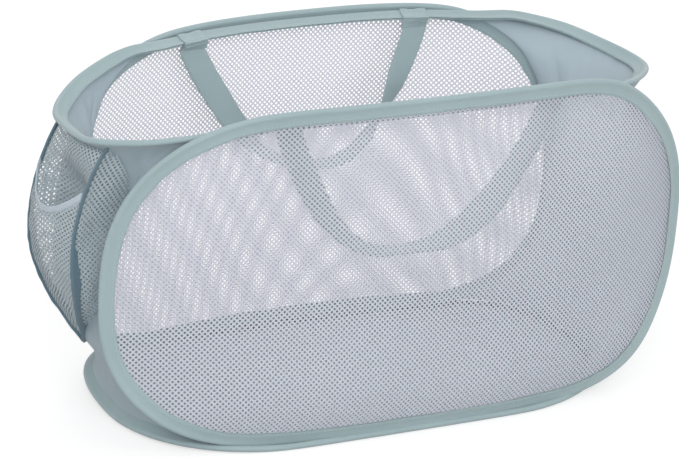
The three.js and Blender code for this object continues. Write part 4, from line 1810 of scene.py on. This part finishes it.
def capped(shape: Shape, rows: int, columns: int) -> Shape:
    """Closes both ends of a tube, each with a fan of triangles from its first point.

    Args:
        shape: a tube of quads.
        rows: its count of rows.
        columns: its count of columns.

    Returns:
        The closed tube, in triangles.
    """
    k = np.arange(1, columns - 1)
    first = np.stack([0 * k, k + 1, k], 1)
    last = (rows - 1) * columns
    end = np.stack([0 * k + last, k + last, k + 1 + last], 1)
    tris = np.vstack([split_quads(shape.faces[0]), first, end])
    uv = shape.uv[0]
    caps = np.zeros((len(first) + len(end), 3, 2))
    tri_uv = np.vstack([split_quads(uv), caps])
    return turned_out(Shape(shape.points, [tris], [tri_uv]))


@dataclass
class Handle:
    """A carrying strap of folded tape that hangs in a U from two tabs on the mouth's band."""

    side: Side
    body: str
    top: float
    left: float
    right: float
    lowest: float
    drop: float
    curves: tuple[float, float]
    twists: tuple[float, float]
    half_turn: bool = False
    width: float = 25.0
    thickness: float = 1.8
    plane: float = 107.9
    steps: int = 150
    sides: int = 20
    hanging: float = 9.0
    cup: float = 0.5
    ripple: float = 0.4
    wander: float = 0.25
    stitch_inset: float = 2.6
    stitch_start: float = 6.0
    tab_width: float = 26.0
    tab_steps: int = 25
    tab_inside: float = 0.35
    tab_outside: float = 1.15
    tab_tail: float = 3.4
    tab_ripple: float = 0.12
    nose: float = 1.7
    nose_points: int = 10

    def middle(self) -> tuple[Array, Array]:
        """The strap's middle line at even spacing, and lengths along it.

        Either side of its lowest place it drops by one less a power of the share of the way out.

        Returns:
            The points, and the length to each.
        """
        x = np.linspace(self.left, self.right, 4000)
        low = x < self.lowest
        reach = np.where(low, self.lowest - self.left, self.right - self.lowest)
        out = np.abs(x - self.lowest) / reach
        z = self.top - self.drop * (1 - out ** np.where(low, *self.curves))
        line = np.stack([x, np.full_like(x, self.side.value * self.plane), z], 1)
        return even_points(line, self.steps)

    def turned(self) -> tuple[Array, Array, Array, Array]:
        """The middle line with its directions across and off the face, and lengths along it.

        The strap hangs straight from its tabs, which fades as an exponential of the length. It is
        turned on edge by quarters that ease in from both ends: there and back, or on to a half.

        Returns:
            The line, both directions and the lengths.
        """
        line, walked = self.middle()
        along = unit(np.gradient(line, axis=0))
        ends = np.exp(-np.minimum(walked, walked[-1] - walked) / self.hanging)[:, None]
        downward = np.arange(self.steps)[:, None] < self.steps / 2
        along = unit(along * (1 - ends) + np.where(downward, -UPWARD, UPWARD) * ends)
        flat = unit(np.cross(along, BACKWARD))
        share = walked / walked[-1]
        near = smooth(share / self.twists[0]) ** 2
        far = smooth((1 - share) / self.twists[1]) ** 2
        quarters = near + 1 - far if self.half_turn else np.minimum(near, far)
        turn = (quarters * (TAU / 4))[:, None]
        across = unit(flat * np.cos(turn) + BACKWARD * np.sin(turn))
        return line, across, unit(np.cross(across, along)), walked

    def waviness(self, share: Array) -> tuple[Array, Array]:
        """How far the strap wanders sideways and ripples off its face: sines of the length."""
        ripple = 0.35 * np.sin(share * 55) + 0.2 * np.sin(share * 91 + 1)
        return self.wander * np.sin(share * 38 + 2), self.ripple * ripple

    def strap(self) -> Shape:
        """The strap's section, an oblong with soft edges and a faint cup, swept along its line.

        Returns:
            The closed strap.
        """
        line, across, through, walked = self.turned()
        turn = np.arange(self.sides) * TAU / self.sides
        wide = self.width / 2 * soft_power(np.cos(turn), 0.32)
        deep = self.thickness / 2 * soft_power(np.sin(turn), 0.75)
        edge, ripple = self.waviness(walked / walked[-1])
        cup = self.cup * (wide / (self.width / 2)) ** 2
        grid = (line[:, None] + (wide[None] + edge[:, None])[..., None] * across[:, None]
                + (deep[None] + cup[None] + ripple[:, None])[..., None] * through[:, None])
        shape = grid_shape(grid, walked, np.arange(self.sides + 1) * 2.6, False, True)
        return capped(shape, self.steps, self.sides)

    def stitches(self) -> Shape:
        """Thread along both edges of both faces.

        Returns:
            The four rows.
        """
        thread = Stitching()
        *lines, walked = self.turned()
        count = int((walked[-1] - 2 * self.stitch_start) / thread.pitch)
        wanted = np.linspace(self.stitch_start, walked[-1] - self.stitch_start, count)
        read = [[np.interp(wanted, walked, line[:, k]) for k in range(3)] for line in lines]
        at, aside, off = (np.stack(columns, 1) for columns in read)
        aside, off = unit(aside), unit(off)
        along = unit(np.cross(off, aside))
        edge, ripple = self.waviness(wanted / walked[-1])
        inset = self.width / 2 - self.stitch_inset
        cup = self.cup * (inset / (self.width / 2)) ** 2
        rows = []
        for sign in (1, -1):
            for face in (1, -1):
                high = face * self.thickness / 2 * 0.99 + cup + ripple
                middles = at + (sign * inset + edge)[:, None] * aside + high[:, None] * off
                rows.append(thread.row(middles, along, aside * face, off * face))
        return rows[0].joined(rows[1]).joined(rows[2]).joined(rows[3])

    def tab_section(self) -> Array:
        """The tab's C as insets and heights: the band's outer side moved out along its normals.

        Returns:
            The points, the outer ones first.
        """
        section = np.stack(Binding("mouth", TOP_LINE, "mouth").section(), 1)
        band = section[:len(section) // 2 - 1]
        tangent = unit(np.gradient(band, axis=0))
        normal = np.stack([tangent[:, 1], -tangent[:, 0]], 1)
        normal *= np.sign(-normal[np.argmin(band[:, 0]), 0])
        outer = band + self.tab_outside * normal
        inner = (band + self.tab_inside * normal)[::-1]
        for leg in (outer, inner):
            leg[[0, -1], 0] += self.tab_tail
        return np.vstack([outer, inner])

    def tab(self, middle: float) -> Shape:
        """A tab: the tape wrapped round the mouth's band, a closed C swept along a short run of it.

        Args:
            middle: X of the tab's middle.

        Returns:
            The wrapped tape and its tongue.
        """
        line = TOP_LINE.frames()
        here = line.origin[:, 1] * self.side.value > 0
        gap = np.where(here, np.abs(line.origin[:, 0] - middle), np.inf)
        centre = int(np.argmin(gap)) / len(line.origin)
        run = np.linspace(-self.tab_width / 2, self.tab_width / 2, self.tab_steps)
        band = line.at(centre + run / line.length)
        section = self.tab_section()
        ripple = 1 + self.tab_ripple * np.sin(np.linspace(0, 9, self.tab_steps))
        grid = (band.origin[:, None] + section[None, :, :1] * band.inward[:, None]
                + (section[None, :, 1:] * ripple[:, None, None]) * band.lift[:, None])
        steps = np.hypot(*np.diff(np.vstack([section, section[:1]]), axis=0).T)
        shape = grid_shape(grid, run, np.concatenate([[0], np.cumsum(steps)]), False, True)
        wrapped = strip_capped(shape, self.tab_steps, len(section))
        return wrapped.joined(self.tongue(band, Binding.width))

    def tongue(self, here: Frames, width: float) -> Shape:
        """The tab's layers going on from the band's inner edge to the strap's end.

        Args:
            here: the band's frames along the tab.
            width: how far the band reaches in from its outer edge.

        Returns:
            A flat strip with a round nose about the strap's turning line.
        """
        edge = here.origin + (width + 0.5) * here.inward
        goal = edge.copy()
        goal[:, 1:] = self.side.value * self.plane, self.top + 1.1
        run = unit(goal - edge)
        normal = unit(np.cross(run, here.along))
        turn = np.linspace(0, math.pi, self.nose_points)[None, :, None]
        nose = np.cos(turn) * normal[:, None] + np.sin(turn) * run[:, None]
        start = edge - 2.5 * run
        upper, lower = start + self.nose * normal, start - self.nose * normal
        grid = np.concatenate([upper[:, None], goal[:, None] + self.nose * nose, lower[:, None]], 1)
        columns = self.nose_points + 2
        u = np.linspace(0, self.tab_width, self.tab_steps)
        shape = grid_shape(grid, u, np.arange(columns + 1) * 1.2, False, True)
        return strip_capped(shape, self.tab_steps, columns)

    def build(self, finishes: dict[str, bpy.types.Material]) -> list[bpy.types.Object]:
        """Makes the strap, its stitching and its two tabs, and returns the tabs.

        Args:
            finishes: the materials by name.

        Returns:
            The two tabs.
        """
        name = self.side.name.lower()
        strap = make_object(f"{name}_strap", self.strap(), finishes["tape"], TAPE_CREASE)
        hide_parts(f"{name}_handle_strap")
        sewn = make_object(f"{name}_strap_stitching", self.stitches(), finishes["thread"])
        for piece in (strap, sewn):
            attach(piece, self.body)
        tabs = []
        for word, place in (("left", self.left), ("right", self.right)):
            shape = self.tab(place)
            tab = make_object(f"{name}_{word}_strap_tab", shape, finishes["tape"], TAPE_CREASE)
            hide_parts(f"{name}_{word}_tab")
            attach(tab, "mouth")
            tabs.append(tab)
        return tabs


def strip_capped(shape: Shape, rows: int, columns: int) -> Shape:
    """Closes both ends of a swept C section with quads between its outer and inner sides.

    Args:
        shape: a swept section.
        rows: its count of rows.
        columns: its count of columns.

    Returns:
        The closed sweep.
    """
    half = columns // 2
    k = np.arange(half - 1)
    first = np.stack([k, k + 1, columns - 2 - k, columns - 1 - k], 1)
    last = first[:, ::-1] + (rows - 1) * columns
    caps = np.vstack([first[:, ::-1], last[:, ::-1]])
    quads = np.vstack([shape.faces[0], caps])
    uv = np.vstack([shape.uv[0], np.zeros((len(caps), 4, 2))])
    return turned_out(Shape(shape.points, [quads], [uv]))


# The whole hamper and its stage


@dataclass
class Folding:
    """The soft pieces as the hamper folds down: each gets its own copy of its mesh."""

    side_plane: float = 133.0
    mouth_plane: float = 309.0
    floor: float = 7.0
    keep_hoop: float = 0.3
    keep_cloth: float = 0.1

    def flatten(self, pieces: list[bpy.types.Object]) -> None:
        """Gives each piece its own copy of its mesh.

        Args:
            pieces: the pieces.
        """
        for piece in pieces:
            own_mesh(piece)

    def apply(self, groups: dict[Quarter, list[bpy.types.Object]]) -> None:
        """Gives the pieces of the two sides, the mouth and the base their own meshes.

        Args:
            groups: the pieces by the hoop that carries them.
        """
        self.flatten(groups[Quarter.FRONT])
        self.flatten(groups[Quarter.BACK])
        self.flatten(groups[Quarter.UPPER])
        self.flatten(groups[Quarter.LOWER])


FRONT_HANDLE = Handle(
    Side.FRONT, "front_handle", top=299.0, left=-140.0, right=129.0, lowest=-12.0, drop=129.0,
    curves=(2.6, 2.5), twists=(0.48, 0.52),
)
BACK_HANDLE = Handle(
    Side.BACK, "back_handle", top=302.0, left=-131.0, right=104.0, lowest=6.0, drop=129.0,
    curves=(2.0, 2.8), twists=(0.5, 0.35), half_turn=True,
)


@dataclass
class Hamper:
    """All pieces of the hamper."""

    folding: Folding = field(default_factory=Folding)

    def finishes(self) -> dict[str, bpy.types.Material]:
        """Every material by the name of what it is used for.

        Returns:
            The materials.
        """
        woven = {
            "tape": TAPE, "cloth": CLOTH, "net": NET, "pocket_net": SHADED_POCKET_NET, "piping": PIPING,
            "thread": THREAD, "hem": HEM,
        }
        made = {name: finish.material() for name, finish in woven.items()}
        return {**made, "steel": Steel().material()}

    def build(self) -> None:
        """Builds every sub-assembly in order and gives the grouped pieces their own meshes."""
        finishes = self.finishes()
        front = Binding("front_hoop", FRONT_LINE, "front_panel", seed=11).build(finishes)
        back = Binding("back_hoop", BACK_LINE, "back_panel", seed=22).build(finishes)
        mouth = Binding("top_hoop", TOP_LINE, "mouth", seed=33).build(finishes)
        Binding("bottom_hoop", BASE_LINE, "base", seed=44).build(finishes)
        front.append(SidePanel(Side.FRONT, FRONT_LINE, "front_panel").build(finishes["net"]))
        back.append(SidePanel(Side.BACK, BACK_LINE, "back_panel").build(finishes["net"]))
        BaseCloth(BASE_LINE).build(finishes["cloth"])
        groups = {Quarter.LOWER: [], Quarter.UPPER: mouth, Quarter.FRONT: front, Quarter.BACK: back}
        surfaces = {end: EndCloth(end).surface() for end in End}
        for end, surface in surfaces.items():
            parts = EndCloth(end).build(surface, finishes["cloth"])
            for group, part in zip(groups.values(), parts):
                group.append(part)
        groups[Quarter.LOWER] += Pocket(surfaces[End.LEFT]).build(finishes)
        groups[Quarter.UPPER] += FRONT_HANDLE.build(finishes) + BACK_HANDLE.build(finishes)
        self.folding.apply(groups)


@dataclass(frozen=True)
class Lamp:
    """A square lamp that faces the hamper, with its place and size in metres and its power in watts."""

    name: str
    place: tuple[float, float, float]
    size: float
    power: float

    def hang(self) -> None:
        """Puts the lamp into the scene."""
        data = bpy.data.lights.new(self.name, "AREA")
        data.shape, data.size, data.energy = "SQUARE", self.size, self.power
        lamp = bpy.data.objects.new(self.name, data)
        lamp.location = self.place
        towards = Vector((0, 0, 0.15)) - Vector(self.place)
        lamp.rotation_euler = towards.to_track_quat("-Z", "Y").to_euler()
        bpy.context.scene.collection.objects.link(lamp)


LAMPS = (
    Lamp("key", (-1.1, -2.6, 1.7), 1.6, 44.0),
    Lamp("side", (-2.2, -0.4, 2.4), 1.6, 16.0),
    Lamp("fill", (2.2, -1.9, 1.4), 1.8, 17.0),
    Lamp("back", (0.6, 2.4, 2.2), 1.8, 22.0),
)


@dataclass
class Studio:
    """The camera, the floor, the lamps and the surround."""

    yaw: float = 0.504
    pitch: float = 0.366
    roll: float = 0.066
    focal: float = 3669.47
    distance: float = 3.399755
    target: tuple[float, float, float] = (-0.0223783, 0.0, 0.150944)
    width: int = 679
    sensor: float = 36.0
    floor_reach: float = 30000.0
    floor_grey: float = 0.6
    floor_glow: float = 0.62
    floor_seen: tuple[float, float] = (0.42, 0.43)
    surround: float = 0.62

    def camera(self) -> None:
        """Sets the camera: a forward direction from yaw and pitch, then a roll about it."""
        level = math.cos(self.pitch)
        ahead = (math.sin(self.yaw) * level, math.cos(self.yaw) * level, -math.sin(self.pitch))
        forward = Vector(ahead)
        right = Vector((math.cos(self.yaw), -math.sin(self.yaw), 0.0))
        up = right.cross(forward)
        c, s = math.cos(self.roll), math.sin(self.roll)
        right, up = c * right + s * up, c * up - s * right
        data = bpy.data.cameras.new("camera")
        data.sensor_width = self.sensor
        data.lens = self.focal / self.width * self.sensor
        data.clip_start, data.clip_end = 0.05, 60.0
        camera = bpy.data.objects.new("camera", data)
        place = Vector(self.target) - self.distance * forward
        turn = Matrix((right, up, -forward)).transposed()
        camera.matrix_world = Matrix.Translation(place) @ turn.to_4x4()
        bpy.context.scene.collection.objects.link(camera)
        bpy.context.scene.camera = camera

    def floor(self) -> None:
        """A pale floor that keeps the hamper's shadow and reads as white to the camera."""
        n = Nodes(bpy.data.materials.new("pale_floor"))
        lit = n.add("BsdfDiffuse", {"Color": (*[self.floor_grey] * 3, 1.0)}).outputs[0]
        glow = n.add("Emission", {"Color": WHITE, "Strength": self.floor_glow}).outputs[0]
        low, high = ((grey,) * 3 for grey in self.floor_seen)
        grain = n.mix(n.noise(n.place(), 30.0, 2.0), low, high)
        shadowed = n.add("BsdfDiffuse", {"Color": grain}).outputs[0]
        seen = n.add("AddShader", {0: glow, 1: shadowed}).outputs[0]
        material = n.finish(n.add("MixShader", {0: n.watched(), 1: lit, 2: seen}).outputs[0])
        reach = self.floor_reach
        square = [[-reach, -reach, 0], [reach, -reach, 0], [reach, reach, 0], [-reach, reach, 0]]
        corners = np.array(square)
        shape = Shape(corners, [np.array([[0, 1, 2, 3]])], [corners[None, :, :2]])
        make_object("floor", shape, material)

    def world(self) -> None:
        """A soft white surround: full white to the camera, gentler as light."""
        n = Nodes(bpy.data.worlds.new("studio"))
        light = n.add("Background", {"Color": WHITE, "Strength": self.surround}).outputs[0]
        white = n.add("Background", {"Color": WHITE, "Strength": 1.0}).outputs[0]
        mixed = n.add("MixShader", {0: n.watched(), 1: light, 2: white}).outputs[0]
        bpy.context.scene.world = n.finish(mixed, "World")

    def build(self) -> None:
        """Sets up the whole stage."""
        self.camera()
        self.floor()
        self.world()
        for lamp in LAMPS:
            lamp.hang()
        bpy.context.scene.view_settings.view_transform = "Standard"


def main() -> None:
    """Builds the stage and the hamper."""
    logging.basicConfig(level=logging.INFO, format="%(name)s %(message)s")
    Studio().build()
    Hamper().build()


if __name__ == "__main__":
    main()
